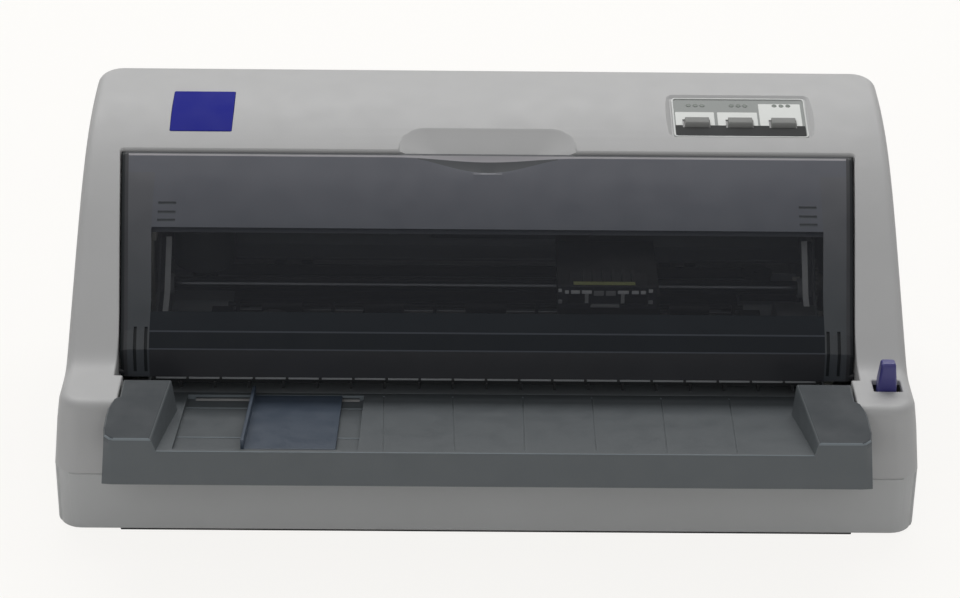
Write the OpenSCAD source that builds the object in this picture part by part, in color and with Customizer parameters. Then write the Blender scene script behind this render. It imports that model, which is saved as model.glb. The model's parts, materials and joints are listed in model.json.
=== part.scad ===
// Flatbed dot matrix printer: two-part case, hinged smoked cover, front sheet tray,
// moving print head on a shaft, roller feed with a gear train, and a rear sprocket feed.
// Millimetres, +Z up, +Y to the rear; the origin is the middle of the footprint.

/* [Case] */
// Width of the case at its parting line
case_w = 468; // [460:1:486]
// Depth of the case without the tray
case_d = 242; // [242:1:254]
// Height from the table to the rear edge of the top
case_h = 170; // [166:1:180]
// Thickness of the case walls
wall = 2.5; // [2:0.1:3]
// Height of the parting line between the two case halves
parting_z = 36.5; // [36:0.5:38.5]
// Height of the shoulders beside the tray
shoulder_h = 75; // [73:0.5:77]
// Distance from the case front to the foot of the sloping face
slope_start = 50; // [48:1:52]
// Angle of the sloping face
slope_angle = 37.4; // [36:0.2:39]
// How much narrower each side is at the shoulders than at the parting line
side_draft = 3; // [1:0.5:5]
// How far the front face leans back up to the shoulders
front_lean = 9; // [5:1:11]
// Radius of the vertical corners
corner_r = 14; // [8:1:18]
// Chamfer of the upper edges of the sloping part
edge_chamfer = 6; // [3:0.5:7]
// Height of the lower case's bottom edge above the table
skirt_z = 1.5; // [1:0.5:2]
// Height of the rubber feet
feet_h = 3; // [2.5:0.5:4]
// Radius of the rubber feet
feet_r = 9; // [7:1:11]

/* [Cover] */
// Width of the opening between the shoulders
opening_neck_w = 397; // [395:1:399]
// Width of the cover opening at its lower end
opening_front_w = 406; // [404:1:408]
// Width of the cover opening at its rear edge
opening_rear_w = 419; // [414:1:422]
// Distance from the case front to the rear edge of the cover opening
opening_rear = 160; // [156:1:162]
// Thickness of the cover
cover_t = 2.6; // [2:0.1:3]
// Gap around the cover
cover_gap = 0.8; // [0.6:0.1:1]
// Radius of the cover's hinge pins
hinge_pin_r = 2.5; // [2:0.1:3]

/* [Tray] */
// How far the tray stands out in front of the case
tray_overhang = 33; // [28:1:38]
// Greatest width of the tray, in front of the case
tray_w = 406.5; // [404:0.5:408]
// Gap between the tray and the shoulders at each side
tray_gap = 0.8; // [0.5:0.1:1]
// Width of the bed between the two end blocks
bed_w = 343; // [339:1:345]
// Height of the end blocks above the table
block_h = 76.5; // [75:0.5:77.5]
// Height of the bed at its front edge
bed_front_h = 69.8; // [68:0.2:71]
// Height of the bed at its rear edge
bed_rear_h = 51; // [50:0.5:52]
// Height of the tray's underside
tray_bottom_h = 48.3; // [47:0.1:49]
// Thickness of the bed
bed_t = 5.5; // [5:0.1:6]
// Pitch of the grooves in the bed
groove_pitch = 37.5; // [35:0.5:40]

/* [Mechanism] */
// Distance between the inner faces of the side frames
frame_gap = 372; // [370:0.5:373]
// Thickness of the side frames
frame_t = 1.6; // [1.4:0.1:1.8]
// Radius of the carriage shaft
shaft_r = 4; // [3.5:0.1:4.5]
// Width of the carriage
carriage_w = 58; // [54:1:60]
// Carriage position at rest, to the right of the middle
carriage_x = 70; // [40:1:90]
// Height of the paper path in the mechanism
paper_z = 46; // [45.5:0.1:46.5]
// Radius of the rubber feed rollers
roller_r = 6; // [5.5:0.1:6.4]
// Radius of the pinch rollers
pinch_r = 4.3; // [4:0.1:4.6]
// Radius of the belt pulleys
pulley_r = 7; // [6:0.5:8]
// Width of the toothed belt
belt_w = 7; // [5:0.5:8]
// Tooth module of the gear train
gear_module = 1; // [0.95:0.01:1.02]
// Face width of the gears
gear_w = 6; // [5:0.5:7]

/* [Sprocket feed] */
// Distance from the middle to each sprocket unit
tractor_x = 115; // [100:1:120]
// Width of a sprocket unit
tractor_w = 22; // [20:1:24]
// Radius at which the paper lies on the sprockets
sprocket_r = 13; // [12:0.5:13.5]
// Number of pins on a sprocket
sprocket_pins = 8; // [6:1:10]

/* [Controls] */
// Width of the control panel
panel_w = 86; // [82:1:90]
// Depth of the control panel
panel_d = 43; // [40:1:44]
// Width of a button
button_w = 15.7; // [14:0.1:17]
// Distance between neighbouring buttons
button_pitch = 25; // [22:1:27]
// How far a button travels
button_travel = 1; // [0.8:0.1:1.2]
// Radius of the feed knob
knob_r = 16; // [14:0.5:17]

/* [Hidden] */
$fn = 48;
small = 0.01;
fit = 0.05;          // running fit of shafts and pins in their bores
gap = 0.3;           // clearance between pieces that move past each other
front_y = -(case_d + tray_overhang) / 2 + tray_overhang;
case_half = case_w / 2;
tower_half = case_half - side_draft;
frame_in = frame_gap / 2;
frame_out = frame_in + frame_t;
floor_t = wall;
floor_z = feet_h + floor_t;

case_grey = [0.66, 0.66, 0.65];
dark_grey = [0.33, 0.35, 0.36];
smoke = [0.25, 0.27, 0.30];
black_plastic = [0.12, 0.12, 0.13];
steel = [0.75, 0.76, 0.78];
rubber = [0.10, 0.10, 0.10];
blue = [0.22, 0.22, 0.42];
white_plastic = [0.85, 0.85, 0.80];
board_green = [0.10, 0.35, 0.20];

// ---- places, as [distance behind the case front, height] ----

// The roof: a straight slope, then one curve that flattens out towards the rear edge.
slope_end = 106;
roof_pull_front = 62;
roof_pull_rear = 60;
roof_steps = 9;
roof_start = [slope_end, shoulder_h + (slope_end - slope_start) * tan(slope_angle)];
roof_end = [case_d, case_h];
roof_bend_1 = roof_start + roof_pull_front * [cos(slope_angle), sin(slope_angle)];
roof_bend_2 = roof_end - roof_pull_rear * [1, 0.017];
function roof_point(t) = pow(1 - t, 3) * roof_start + 3 * t * pow(1 - t, 2) * roof_bend_1
    + 3 * t * t * (1 - t) * roof_bend_2 + pow(t, 3) * roof_end;
roof_curve = [for (i = [0:roof_steps]) roof_point(i / roof_steps)];
// Height of the roof at a distance u behind the case front.
function roof_z(u) = u <= slope_end
    ? shoulder_h + (u - slope_start) * tan(slope_angle)
    : lookup(u, roof_curve);

front_roller_at = [96, paper_z - roller_r];
roller_gap = 72;
rear_roller_at = front_roller_at + [roller_gap, 0];
front_pinch_at = front_roller_at + [0, roller_r + pinch_r + gap];
rear_pinch_at = rear_roller_at + [0, roller_r + pinch_r + gap];
platen_at = 129;
platen_depth = 12;
platen_h = 9.5;
platen_top = paper_z - 0.5;
shaft_at = [156, 70.3];
belt_u = 176;
belt_z = 62;
belt_t = 1;

// Gear train on the right side frame: tooth counts, centres and tooth phases.
roller_teeth = 24;
idler_teeth = 48;
pinion_teeth = 12;
knob_teeth = 26;
tractor_teeth = 40;
function pitch_r(teeth) = teeth * gear_module / 2;
function polar(angle, r) = r * [cos(angle), sin(angle)];
idler_at = (front_roller_at + rear_roller_at) / 2;
pinion_dir = 128;
pinion_at = idler_at + polar(pinion_dir, pitch_r(idler_teeth) + pitch_r(pinion_teeth));
knob_dir = 62;
knob_at = rear_roller_at + polar(knob_dir, pitch_r(roller_teeth) + pitch_r(knob_teeth));
tractor_dir = 6;
tractor_at = knob_at + polar(tractor_dir, pitch_r(knob_teeth) + pitch_r(tractor_teeth));
tractor_guide_at = tractor_at + [2, -22];
// Turn of a gear that meshes with one at turn_a, seen from it in direction dir.
function mesh_turn(dir, turn_a, teeth_a, teeth_b) =
    dir + 180 - 180 / teeth_b + (dir - turn_a) * teeth_a / teeth_b;
idler_turn = 0;
front_gear_turn = mesh_turn(180, idler_turn, idler_teeth, roller_teeth);
rear_gear_turn = mesh_turn(0, idler_turn, idler_teeth, roller_teeth);
pinion_turn = mesh_turn(pinion_dir, idler_turn, idler_teeth, pinion_teeth);
knob_turn = mesh_turn(knob_dir, rear_gear_turn, roller_teeth, knob_teeth);
tractor_turn = mesh_turn(tractor_dir, knob_turn, knob_teeth, tractor_teeth);
gear_x = frame_out + 2.4;

// ---- shared shapes ----

// A prism along X between x0 and x1, from a 2D shape in [distance behind front, height].
module x_prism(x0, x1) {
    translate([x0, front_y, 0]) rotate([90, 0, 90]) linear_extrude(x1 - x0) children();
}

module x_rod(x0, x1, at, r) {
    x_prism(x0, x1) translate(at) circle(r);
}

// A box given by its low and high corners, with Y measured from the case front.
module block(low, high) {
    translate([low[0], front_y + low[1], low[2]]) cube(high - low);
}

// A prism upwards from z0 to z1, from a 2D shape in [x, distance behind front].
module z_prism(z0, z1) {
    translate([0, front_y, z0]) linear_extrude(z1 - z0) children();
}

module z_rod(x, u, z0, z1, r) {
    translate([x, front_y + u, z0]) cylinder(h = z1 - z0, r = r);
}

module both_sides() {
    children();
    mirror([1, 0, 0]) children();
}

// Rounded rectangle of the case in plan, drawn in by inset on every side.
module plan_outline(inset) {
    r = corner_r - inset;
    w = case_half - inset;
    translate([-w, inset + r]) square([2 * w, case_d - 2 * inset - 2 * r]);
    translate([-w + r, inset]) square([2 * w - 2 * r, case_d - 2 * inset]);
    for (x = [-w + r, w - r], u = [inset + r, case_d - inset - r])
        translate([x, u]) circle(r);
}

function gear_ring(teeth, turn) = [for (i = [0:teeth - 1], k = [0:3])
    let (tip = k == 1 || k == 2,
         r = pitch_r(teeth) + (tip ? 0.8 : -1.15) * gear_module,
         side = (k < 2 ? -1 : 1) * (tip ? 0.12 : 0.28))
    polar(turn + (i + side) * 360 / teeth, r)];

module gear(at, teeth, turn, bore_r) {
    x_prism(gear_x, gear_x + gear_w) difference() {
        translate(at) polygon(gear_ring(teeth, turn));
        translate(at) circle(bore_r);
    }
}

// ---- case ----

lower_inset = 1;
post_r = 6.5;
screw_r = 1.5;
screw_head_r = 3.6;
screw_head_t = 2.5;
screw_seat_z = 12;
screw_tip_z = parting_z + 12;
screw_post_top = screw_tip_z + 4;
post_rib_t = 2.4;
screw_x = case_half - 18;
screw_places = [for (x = [-screw_x, screw_x], u = [62, case_d - 17]) [x, u]];
feet_places = [for (x = [-1, 1] * (case_half - 54), u = [30, case_d - 27]) [x, u]];
chassis_z = 30;
chassis_t = 2;
chassis_top = chassis_z + chassis_t;
chassis_u = [66, 216];
support_r = 4;
support_places = [for (x = [-1, 1] * (frame_in - 10), u = [76, 196]) [x, u]];
board_z = 10;
board_t = 1.6;
main_board_x = [-90, 140];
main_board_u = [130, case_d - 10];
power_board_x = [-166, -106];
power_board_u = [66, 190];
board_post_r = 3;
board_post_inset = 5;
board_posts = [
    for (x = [main_board_x[0] + board_post_inset, main_board_x[1] - board_post_inset],
         u = [main_board_u[0] + board_post_inset, main_board_u[1] - board_post_inset]) [x, u],
    for (x = [power_board_x[0] + board_post_inset, power_board_x[1] - board_post_inset],
         u = [power_board_u[0] + board_post_inset, power_board_u[1] - board_post_inset]) [x, u]];
inlet_x = -150;
inlet_w = 27;
inlet_h = 19;
inlet_z = floor_z + 0.2 + inlet_h / 2;
inlet_depth = 22;
parallel_x = [36, 106];
parallel_h = 16;
usb_x = [116, 128];
usb_h = 11;
switch_u = 96;
switch_z = 22;
switch_w = 20;
switch_h = 13;
switch_pin_r = 1.5;
switch_pivot_x = -case_half + lower_inset + 5;
switch_box_t = 2;
vent_count = 14;
vent_pitch = 7;
vent_w = 3;

// Everything inside the walls of the lower case, above its floor and below it.
module case_cavity() {
    z_prism(floor_z, parting_z + 1) plan_outline(lower_inset + wall);
    z_prism(skirt_z - 1, feet_h) plan_outline(lower_inset + wall);
}

module lower_case() color(case_grey) difference() {
    union() {
        difference() {
            z_prism(skirt_z, parting_z) plan_outline(lower_inset);
            case_cavity();
        }
        for (p = screw_places) z_rod(p[0], p[1], floor_z - small, parting_z, post_r);
        for (p = support_places) z_rod(p[0], p[1], floor_z - small, chassis_z, support_r);
        for (p = board_posts) z_rod(p[0], p[1], floor_z - small, board_z, board_post_r);
        switch_box(switch_box_t);
    }
    for (p = screw_places) {
        z_rod(p[0], p[1], feet_h - 1, screw_seat_z, screw_head_r + 0.6);
        z_rod(p[0], p[1], 0, parting_z + 1, screw_r + fit);
    }
    switch_box(0);
    x_rod_y(switch_pivot_x, switch_z, switch_u, switch_w + 2 * switch_box_t + 1,
        switch_pin_r + fit);
    rear_cut(inlet_x - inlet_w / 2 - fit, inlet_x + inlet_w / 2 + fit,
        inlet_z - inlet_h / 2 - fit, inlet_z + inlet_h / 2 + fit);
    rear_cut(parallel_x[0] - gap, parallel_x[1] + gap,
        board_z + board_t - gap, board_z + board_t + parallel_h + gap);
    rear_cut(usb_x[0] - gap, usb_x[1] + gap,
        board_z + board_t - gap, board_z + board_t + usb_h + gap);
    for (i = [0:vent_count - 1], x = [-120, 20])
        translate([x + i * vent_pitch, front_y + 60, feet_h - 1])
            cube([vent_w, 46, floor_t + 2]);
}

// A pocket for the power switch in the left wall, grown by t on the inside.
module switch_box(t) {
    x0 = -case_half + lower_inset - (t > 0 ? -small : 1);
    block([x0, switch_u - switch_w / 2 - t, switch_z - switch_h / 2 - t],
        [switch_pivot_x + 6 + t, switch_u + switch_w / 2 + t, switch_z + switch_h / 2 + t]);
}

// A rod along Y, centred at distance u behind the case front.
module x_rod_y(x, z, u, length, r) {
    translate([x, front_y + u + length / 2, z]) rotate([90, 0, 0])
        cylinder(h = length, r = r);
}

module rear_cut(x0, x1, z0, z1) {
    block([x0, case_d - wall - lower_inset - 1, z0], [x1, case_d + 1, z1]);
}

// Lower part of the upper case, with the shoulders; inset draws it in for the cavity.
module base_body(inset) {
    z0 = inset > 0 ? parting_z - 1 : parting_z;
    top = shoulder_h - inset;
    chamfer = wall;
    hull() {
        block([-case_half + inset, inset, z0],
            [case_half - inset, case_d - inset, z0 + small]);
        block([-tower_half + inset, front_lean + inset, top - chamfer],
            [tower_half - inset, case_d - inset, top - chamfer + small]);
        block([-tower_half + inset + chamfer, front_lean + chamfer + inset, top - small],
            [tower_half - inset - chamfer, case_d - inset - chamfer, top]);
    }
}

tower_foot_z = 46;
tower_profile = concat([[case_d, tower_foot_z],
    [slope_start - (shoulder_h - tower_foot_z) / tan(slope_angle), tower_foot_z]], roof_curve);

// Sloping upper part of the case.
module tower_body(inset) {
    half = tower_half - inset;
    hull() {
        x_prism(-half + edge_chamfer, half - edge_chamfer)
            offset(delta = -inset) polygon(tower_profile);
        x_prism(-half, half)
            offset(delta = -inset - edge_chamfer) polygon(tower_profile);
    }
}

module case_envelope(inset) {
    intersection() {
        union() {
            base_body(inset);
            tower_body(inset);
        }
        z_prism(0, case_h + 1) plan_outline(inset);
    }
}

open_neck = opening_neck_w / 2;
open_front = opening_front_w / 2;
open_rear = opening_rear_w / 2;
neck_end = 39.5;
// Half width of the cover opening at a distance u behind the case front.
function open_half(u) = u <= cheek_end ? open_front
    : open_front + (open_rear - open_front) * (u - cheek_end) / (opening_rear - cheek_end);

// Plan shape of the cover opening, grown by extra at the sides, between u0 and u1.
module opening_plan(extra, u0, u1) {
    steps = [u0, max(u0, min(cheek_end, u1)), u1];
    polygon(concat([for (u = steps) [-open_half(u) - extra, u]],
        [for (i = [2:-1:0]) [open_half(steps[i]) + extra, steps[i]]]));
}

roof_line = concat([[slope_start, shoulder_h]], roof_curve);

// A band that follows the roof, from depth d1 down to depth d2 below it.
module roof_band(d1, d2) {
    n = len(roof_line) - 1;
    polygon(concat([for (p = roof_line) p - [0, d1]],
        [for (i = [n:-1:0]) roof_line[i] - [0, d2]]));
}

cover_pivot = [60, 66];
cheek_bottom = 46;
cheek_end = 68;
lip_depth = 9;
scoop_w = 104;
scoop_d = 17;
scoop_depth = 7;
panel_x = 146;
panel_u = 193.5;
panel_depth = 2.5;
panel_floor_t = 2.5;
panel_rise = 13.5;
panel_z = roof_z(panel_u) + 0.3;
lever_at = [31.5, 40.5];
lever_x = [211.5, 224.5];
lever_top = 91;
lever_top_w = 9.6;
lever_slot_u = [27.5, 39.5];
lever_slot_x = [209.5, 226.5];
knob_cup_r = knob_r + 2.5;
knob_face_x = case_half - 3.8;
knob_depth = 14;
cup_floor_x = knob_face_x - knob_depth - 1.5 - wall;
knob_shaft_r = 5;
rear_slot_w = 300;
rear_slot_z = [84, 120];
badge_x = -164.8;
badge_u = 192.7;
badge_w = 35.6;
badge_d = 37.6;
badge_t = 1.2;

module on_panel() {
    translate([panel_x, front_y + panel_u, panel_z]) rotate([panel_rise, 0, 0]) children();
}

module upper_case() color(case_grey) difference() {
    case_envelope(0);
    difference() {
        case_envelope(wall);
        // cheeks beside the tray and the cover's hinge
        both_sides() {
            block([open_front, neck_end, cheek_bottom], [open_front + wall, cheek_end, case_h]);
            block([open_neck, 0, cheek_bottom], [open_neck + wall, neck_end + wall, case_h]);
            block([open_neck, neck_end, cheek_bottom],
                [open_front + wall, neck_end + wall, case_h]);
        }
        // lips along the cover opening
        intersection() {
            x_prism(-tower_half, tower_half) roof_band(-1, lip_depth);
            z_prism(0, case_h) difference() {
                opening_plan(wall, cheek_end - small, opening_rear + wall);
                opening_plan(0, cheek_end - 1, opening_rear);
            }
        }
        // floor of the finger scoop
        intersection() {
            x_prism(-scoop_w / 2 - wall, scoop_w / 2 + wall) roof_band(-1, scoop_depth + wall);
            z_prism(0, case_h) translate([-scoop_w, opening_rear])
                square([2 * scoop_w, scoop_d + wall]);
        }
        on_panel() translate([-panel_w / 2 - wall, -panel_d / 2 - wall,
            -panel_depth - panel_floor_t])
            cube([panel_w + 2 * wall, panel_d + 2 * wall, 12]);
        x_rod(cup_floor_x, case_half, knob_at, knob_cup_r + wall);
        for (p = screw_places) {
            z_rod(p[0], p[1], parting_z - 1, screw_post_top, post_r - 1.5);
            block([min(p[0], sign(p[0]) * case_half), p[1] - post_rib_t / 2, parting_z - 1],
                [max(p[0], sign(p[0]) * case_half), p[1] + post_rib_t / 2, screw_post_top]);
        }
    }
    z_prism(tray_bottom_h, case_h + 1) {
        opening_plan(0, neck_end + wall, opening_rear);
        translate([-open_neck, -1]) square([2 * open_neck, neck_end + wall + 2]);
    }
    intersection() {
        x_prism(-scoop_w / 2, scoop_w / 2) roof_band(-1, scoop_depth);
        z_prism(0, case_h) translate([-scoop_w, opening_rear - 1])
            square([2 * scoop_w, scoop_d + 1]);
    }
    on_panel() {
        translate([-panel_w / 2, -panel_d / 2, -panel_depth]) cube([panel_w, panel_d, 12]);
        button_holes(gap, panel_depth + panel_floor_t + 8);
        lamp_holes(panel_depth + panel_floor_t + 8);
    }
    block([lever_slot_x[0], lever_slot_u[0], shoulder_h - 12],
        [lever_slot_x[1], lever_slot_u[1], shoulder_h + 1]);
    x_rod(cup_floor_x + wall, case_half + 1, knob_at, knob_cup_r);
    x_rod(cup_floor_x - 1, case_half, knob_at, knob_shaft_r + gap);
    both_sides() x_rod(open_front - 1, open_front + wall + small, cover_pivot,
        hinge_pin_r + fit);
    block([-rear_slot_w / 2, case_d - 30, rear_slot_z[0]],
        [rear_slot_w / 2, case_d + 1, rear_slot_z[1]]);
    for (p = screw_places) z_rod(p[0], p[1], 0, screw_tip_z + 1, screw_r + fit);
    badge_shape(badge_t, 0);
}

module rubber_feet() color(rubber)
    for (p = feet_places) z_rod(p[0], p[1], 0, feet_h, feet_r);

module screws() color(steel) for (p = screw_places) {
    z_rod(p[0], p[1], screw_seat_z - screw_head_t, screw_seat_z, screw_head_r);
    z_rod(p[0], p[1], screw_seat_z - small, screw_tip_z, screw_r);
}

// Square plate let into the roof; the pocket and the plate share this shape.
module badge_shape(t, clear) {
    slope = atan((roof_z(badge_u + 1) - roof_z(badge_u - 1)) / 2);
    size = [badge_w - 2 * clear, badge_d - 2 * clear];
    translate([badge_x, front_y + badge_u, roof_z(badge_u) - t]) rotate([slope, 0, 0])
        linear_extrude(clear > 0 ? t : t + 3) square(size, center = true);
}

// ---- control panel ----

label_t = 0.8;
button_d = 12;
button_v = -7;
button_proud = 2.6;
button_flange = 1.2;
stem_r = 2;
panel_board_drop = 14;
switch_cap_h = 3;
lamp_r = 1.4;
lamp_v = 12;
lamp_us = [for (i = [-1:1], j = [0:2]) [i * button_pitch - 4 + 4 * j, lamp_v - 3]];

module button_holes(clear, depth) {
    for (i = [-1:1])
        translate([i * button_pitch - button_w / 2 - clear, button_v - button_d / 2 - clear,
            -depth]) cube([button_w + 2 * clear, button_d + 2 * clear, depth + 8]);
}

module lamp_holes(depth) {
    for (p = lamp_us) translate([p[0], p[1], -depth]) cylinder(h = depth + 5, r = lamp_r + fit);
}

module panel_label() color(case_grey) on_panel() difference() {
    translate([-panel_w / 2 + gap, -panel_d / 2 + gap, -panel_depth])
        cube([panel_w - 2 * gap, panel_d - 2 * gap, label_t]);
    button_holes(gap, panel_depth + 1);
    lamp_holes(panel_depth + 1);
}

module panel_board() color(board_green) on_panel() {
    floor_under = -panel_depth - panel_floor_t;
    translate([-panel_w / 2 + 4, -panel_d / 2 + 4, -panel_board_drop - board_t])
        cube([panel_w - 8, panel_d - 8, board_t]);
    for (i = [-1:1]) translate([i * button_pitch - 3, button_v - 3, -panel_board_drop - small])
        cube([6, 6, switch_cap_h]);
    for (p = lamp_us) translate([p[0], p[1], -panel_board_drop - small])
        cylinder(h = panel_board_drop - panel_depth + label_t, r = lamp_r);
    for (x = [-1, 1] * (panel_w / 2 - 8), v = [-1, 1] * (panel_d / 2 - 8))
        translate([x, v, -panel_board_drop - small])
            cylinder(h = panel_board_drop + floor_under + small, r = 2);
}

module panel_button(i) color(case_grey) on_panel() translate([i * button_pitch, button_v, 0]) {
    low = -panel_depth - panel_floor_t;
    rotate([90, 0, 90]) translate([0, 0, -button_w / 2]) linear_extrude(button_w)
        polygon([[-button_d / 2, low], [button_d / 2, low], [button_d / 2, 0.6],
            [-button_d / 2 + 2, button_proud], [-button_d / 2, button_proud - 0.8]]);
    stem_low = -panel_board_drop + switch_cap_h + button_travel + gap;
    translate([0, 0, stem_low]) cylinder(h = low - stem_low + small, r = stem_r);
}

module button_feed() panel_button(-1);
module button_load() panel_button(0);
module button_pause() panel_button(1);

module badge_plate() color(blue) badge_shape(badge_t - fit, 2 * fit);

// ---- tray, edge guide and cover ----

bed_half = bed_w / 2;
tray_half = tray_w / 2;
tray_neck = open_neck - tray_gap;
ear_r = 160;
ear_widest = -2;
ear_clear = 0.5;
tray_rear = 63;
block_rear = 40;
tray_wall = 2.5;
tray_chamfer = 5;
bed_slope = (bed_front_h - bed_rear_h) / (tray_rear + tray_overhang);
function bed_z(u) = bed_rear_h + (tray_rear - u) * bed_slope;
recess_x = [-166, -68];
recess_depth = 3;
recess_front = -27;
guide_x = [-129.8, -80];
guide_t = 2.5;
guide_front = -25.5;
guide_rear = tray_rear - 1.5;
fence_t = 1.8;
fence_h = 5;
runner_u = [46.5, 49.5];
runner_x = [-121, -89];
guide_travel = [-35, 11];
groove_w = 1;
groove_depth = 0.7;
groove_x0 = -18 - groove_pitch;
rest_us = [-5.5, 40.5];
rest_w = 1;
rest_h = 0.2;

// A band parallel to the bed between two heights above it.
module bed_band(u0, u1, low, high) {
    polygon([[u0, bed_z(u0) + low], [u1, bed_z(u1) + low], [u1, bed_z(u1) + high],
        [u0, bed_z(u0) + high]]);
}

// Distance behind the case front of the leaning front face, at height z.
function face_u(z) = front_lean * (z - parting_z) / (shoulder_h - parting_z);

module front_tray() color(dark_grey) difference() {
    union() {
        x_prism(-bed_half - small, bed_half + small) {
            bed_band(-tray_overhang, tray_rear, -bed_t, 0);
            polygon([[-tray_overhang, tray_bottom_h], [-tray_overhang + tray_wall, tray_bottom_h],
                [-tray_overhang + tray_wall, bed_front_h - 1], [-tray_overhang, bed_front_h]]);
            polygon([[-tray_overhang, tray_bottom_h], [wall + 4, tray_bottom_h],
                [wall + 4, tray_bottom_h + tray_wall], [-tray_overhang, tray_bottom_h + tray_wall]]);
        }
        both_sides() difference() {
            end_block(0);
            end_block(tray_wall);
        }
        // raised lines across the guide's recess
        for (u = rest_us) x_prism(recess_x[0], recess_x[1])
            bed_band(u - rest_w / 2, u + rest_w / 2, -recess_depth - small, -recess_depth + rest_h);
    }
    difference() {
        x_prism(recess_x[0], recess_x[1])
            bed_band(recess_front, tray_rear + 1, -recess_depth, recess_depth);
        for (u = rest_us) x_prism(recess_x[0] - 1, recess_x[1] + 1)
            bed_band(u - rest_w / 2, u + rest_w / 2, -recess_depth - 1, -recess_depth + rest_h);
    }
    x_prism(runner_x[0] + guide_travel[0] - gap, runner_x[1] + guide_travel[1] + gap)
        bed_band(runner_u[0] - gap, runner_u[1] + gap, -bed_t - 1, recess_depth);
    for (i = [0:5], side = [-1, 1])
        x_prism(groove_x0 + i * groove_pitch + side * groove_w - groove_w / 2,
            groove_x0 + i * groove_pitch + side * groove_w + groove_w / 2)
            bed_band(-tray_overhang + 3, tray_rear + 1, -groove_depth, recess_depth);
}

// Hollow block beside the bed: its ear lies against the leaning front of the case, and its
// rear part stands between the shoulders. t draws it in for the hollow.
module end_block(t) {
    low = tray_bottom_h - (t > 0 ? 1 : 0);
    top = block_h - t;
    c = tray_chamfer - t / 2;
    half = tray_half - t;
    front = -tray_overhang + t;
    back = -ear_clear - t;
    z_prism(low, top) translate([bed_half + t, front])
        square([tray_neck - bed_half - 2 * t, block_rear - t - front]);
    intersection() {
        x_prism(bed_half + t, half + 1) polygon([[front, low], [face_u(low) + back, low],
            [face_u(top) + back, top], [front, top]]);
        z_prism(low - 1, top + 1) intersection() {
            polygon([[bed_half + t, front], [half - c - 2, front], [half - 2, front + c],
                [half + 1, front + 3 * c], [half + 1, block_rear], [bed_half + t, block_rear]]);
            translate([half - ear_r, ear_widest]) circle(ear_r, $fn = 96);
        }
    }
}

module edge_guide() color(dark_grey) {
    base = -recess_depth + gap;
    x_prism(guide_x[0], guide_x[1]) bed_band(guide_front, guide_rear, base, base + guide_t);
    x_prism(guide_x[0], guide_x[0] + fence_t)
        bed_band(guide_front, guide_rear, base + guide_t - small, fence_h);
    x_prism(runner_x[0], runner_x[1])
        bed_band(runner_u[0], runner_u[1], -bed_t, base + small);
}

cover_bend_u = 66.8;
cover_knee = [59.8, 79.6];
cover_lip = [57.5, 61.5];
cover_rear = opening_rear - cover_gap;
cover_drop = cover_t * 1.2;
cover_line = concat([[cover_bend_u, roof_z(cover_bend_u)]],
    [for (p = roof_line) if (p[0] > cover_bend_u && p[0] < cover_rear) p],
    [[cover_rear, roof_z(cover_rear)]]);
cover_boss_r = 4.5;
cover_boss_x = open_front - 12;
tab_w = 80;
tab_reach = 6;

module printer_cover() color(smoke) difference() {
    union() {
        intersection() {
            x_prism(-open_rear, open_rear) polygon(concat(
                [cover_lip, cover_knee], cover_line,
                [for (i = [len(cover_line) - 1:-1:0]) cover_line[i] - [0, cover_drop]],
                [cover_knee + [cover_t, -1.2], cover_lip + [cover_t, 0]]));
            z_prism(0, case_h) opening_plan(-cover_gap, slope_start, opening_rear);
        }
        x_prism(-tab_w / 2, tab_w / 2) polygon([[cover_rear - 4, roof_z(cover_rear - 4) - 0.6],
            [cover_rear + tab_reach, roof_z(cover_rear) - 0.6],
            [cover_rear + tab_reach, roof_z(cover_rear) - cover_t],
            [cover_rear - 4, roof_z(cover_rear - 4) - cover_drop]]);
        both_sides() {
            x_rod(cover_boss_x, open_front - cover_gap, cover_pivot, cover_boss_r);
            x_rod(open_front - 5, open_front + wall, cover_pivot, hinge_pin_r);
        }
    }
}

module release_lever() color(blue) difference() {
    middle = (lever_x[0] + lever_x[1]) / 2;
    union() {
        x_rod(lever_x[0], lever_x[1], lever_at, 6);
        x_prism(lever_x[0] + 1, lever_x[1] - 1) polygon([lever_at + [-2.4, 0],
            lever_at + [3.2, 0], [lever_at[0] + 2.6, shoulder_h], [lever_at[0] - 3, shoulder_h]]);
        // handle, which narrows towards its top
        intersection() {
            x_prism(lever_x[0], lever_x[1]) polygon([[lever_at[0] - 3.2, shoulder_h - 4],
                [lever_at[0] + 2.8, shoulder_h - 4], [lever_at[0] + 2.6, lever_top],
                [lever_at[0] - 0.4, lever_top], [lever_at[0] - 2, lever_top - 2.5]]);
            translate([0, front_y + case_d, 0]) rotate([90, 0, 0]) linear_extrude(case_d)
                polygon([[lever_x[0], shoulder_h - 5], [lever_x[1], shoulder_h - 5],
                    [middle + lever_top_w / 2, lever_top + 1],
                    [middle - lever_top_w / 2, lever_top + 1]]);
        }
    }
    x_rod(lever_x[0] - 1, lever_x[1] + 1, lever_at, 3 + fit);
}

module feed_knob() color(black_plastic) difference() {
    union() {
        x_rod(knob_face_x - knob_depth, knob_face_x - 3, knob_at, knob_r);
        x_rod(knob_face_x - 3, knob_face_x, knob_at, knob_r - 2);
    }
    x_rod(knob_face_x - knob_depth - 1, knob_face_x - 4, knob_at, knob_shaft_r + fit);
    for (i = [0:17]) x_rod(knob_face_x - knob_depth - 1, knob_face_x + 1,
        knob_at + polar(i * 20, knob_r + 0.6), 1.2);
}

// ---- frame ----

thickness_at = [140, 66];
carriage_low = 61;
carriage_top = 79.5;
rail_u = [180, 198];
rail_z = 74;
rail_t = 2;
rail_flange_t = 1.5;
rail_flange_top = 96;
frame_outline = [[26, 34], [66, 34], [66, chassis_top], [230, chassis_top], [230, 78],
    [200, 100], [190, 108], [142, 108], [120, 84], [66, 62], [50, 46.5], [26, 46.5]];

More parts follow.
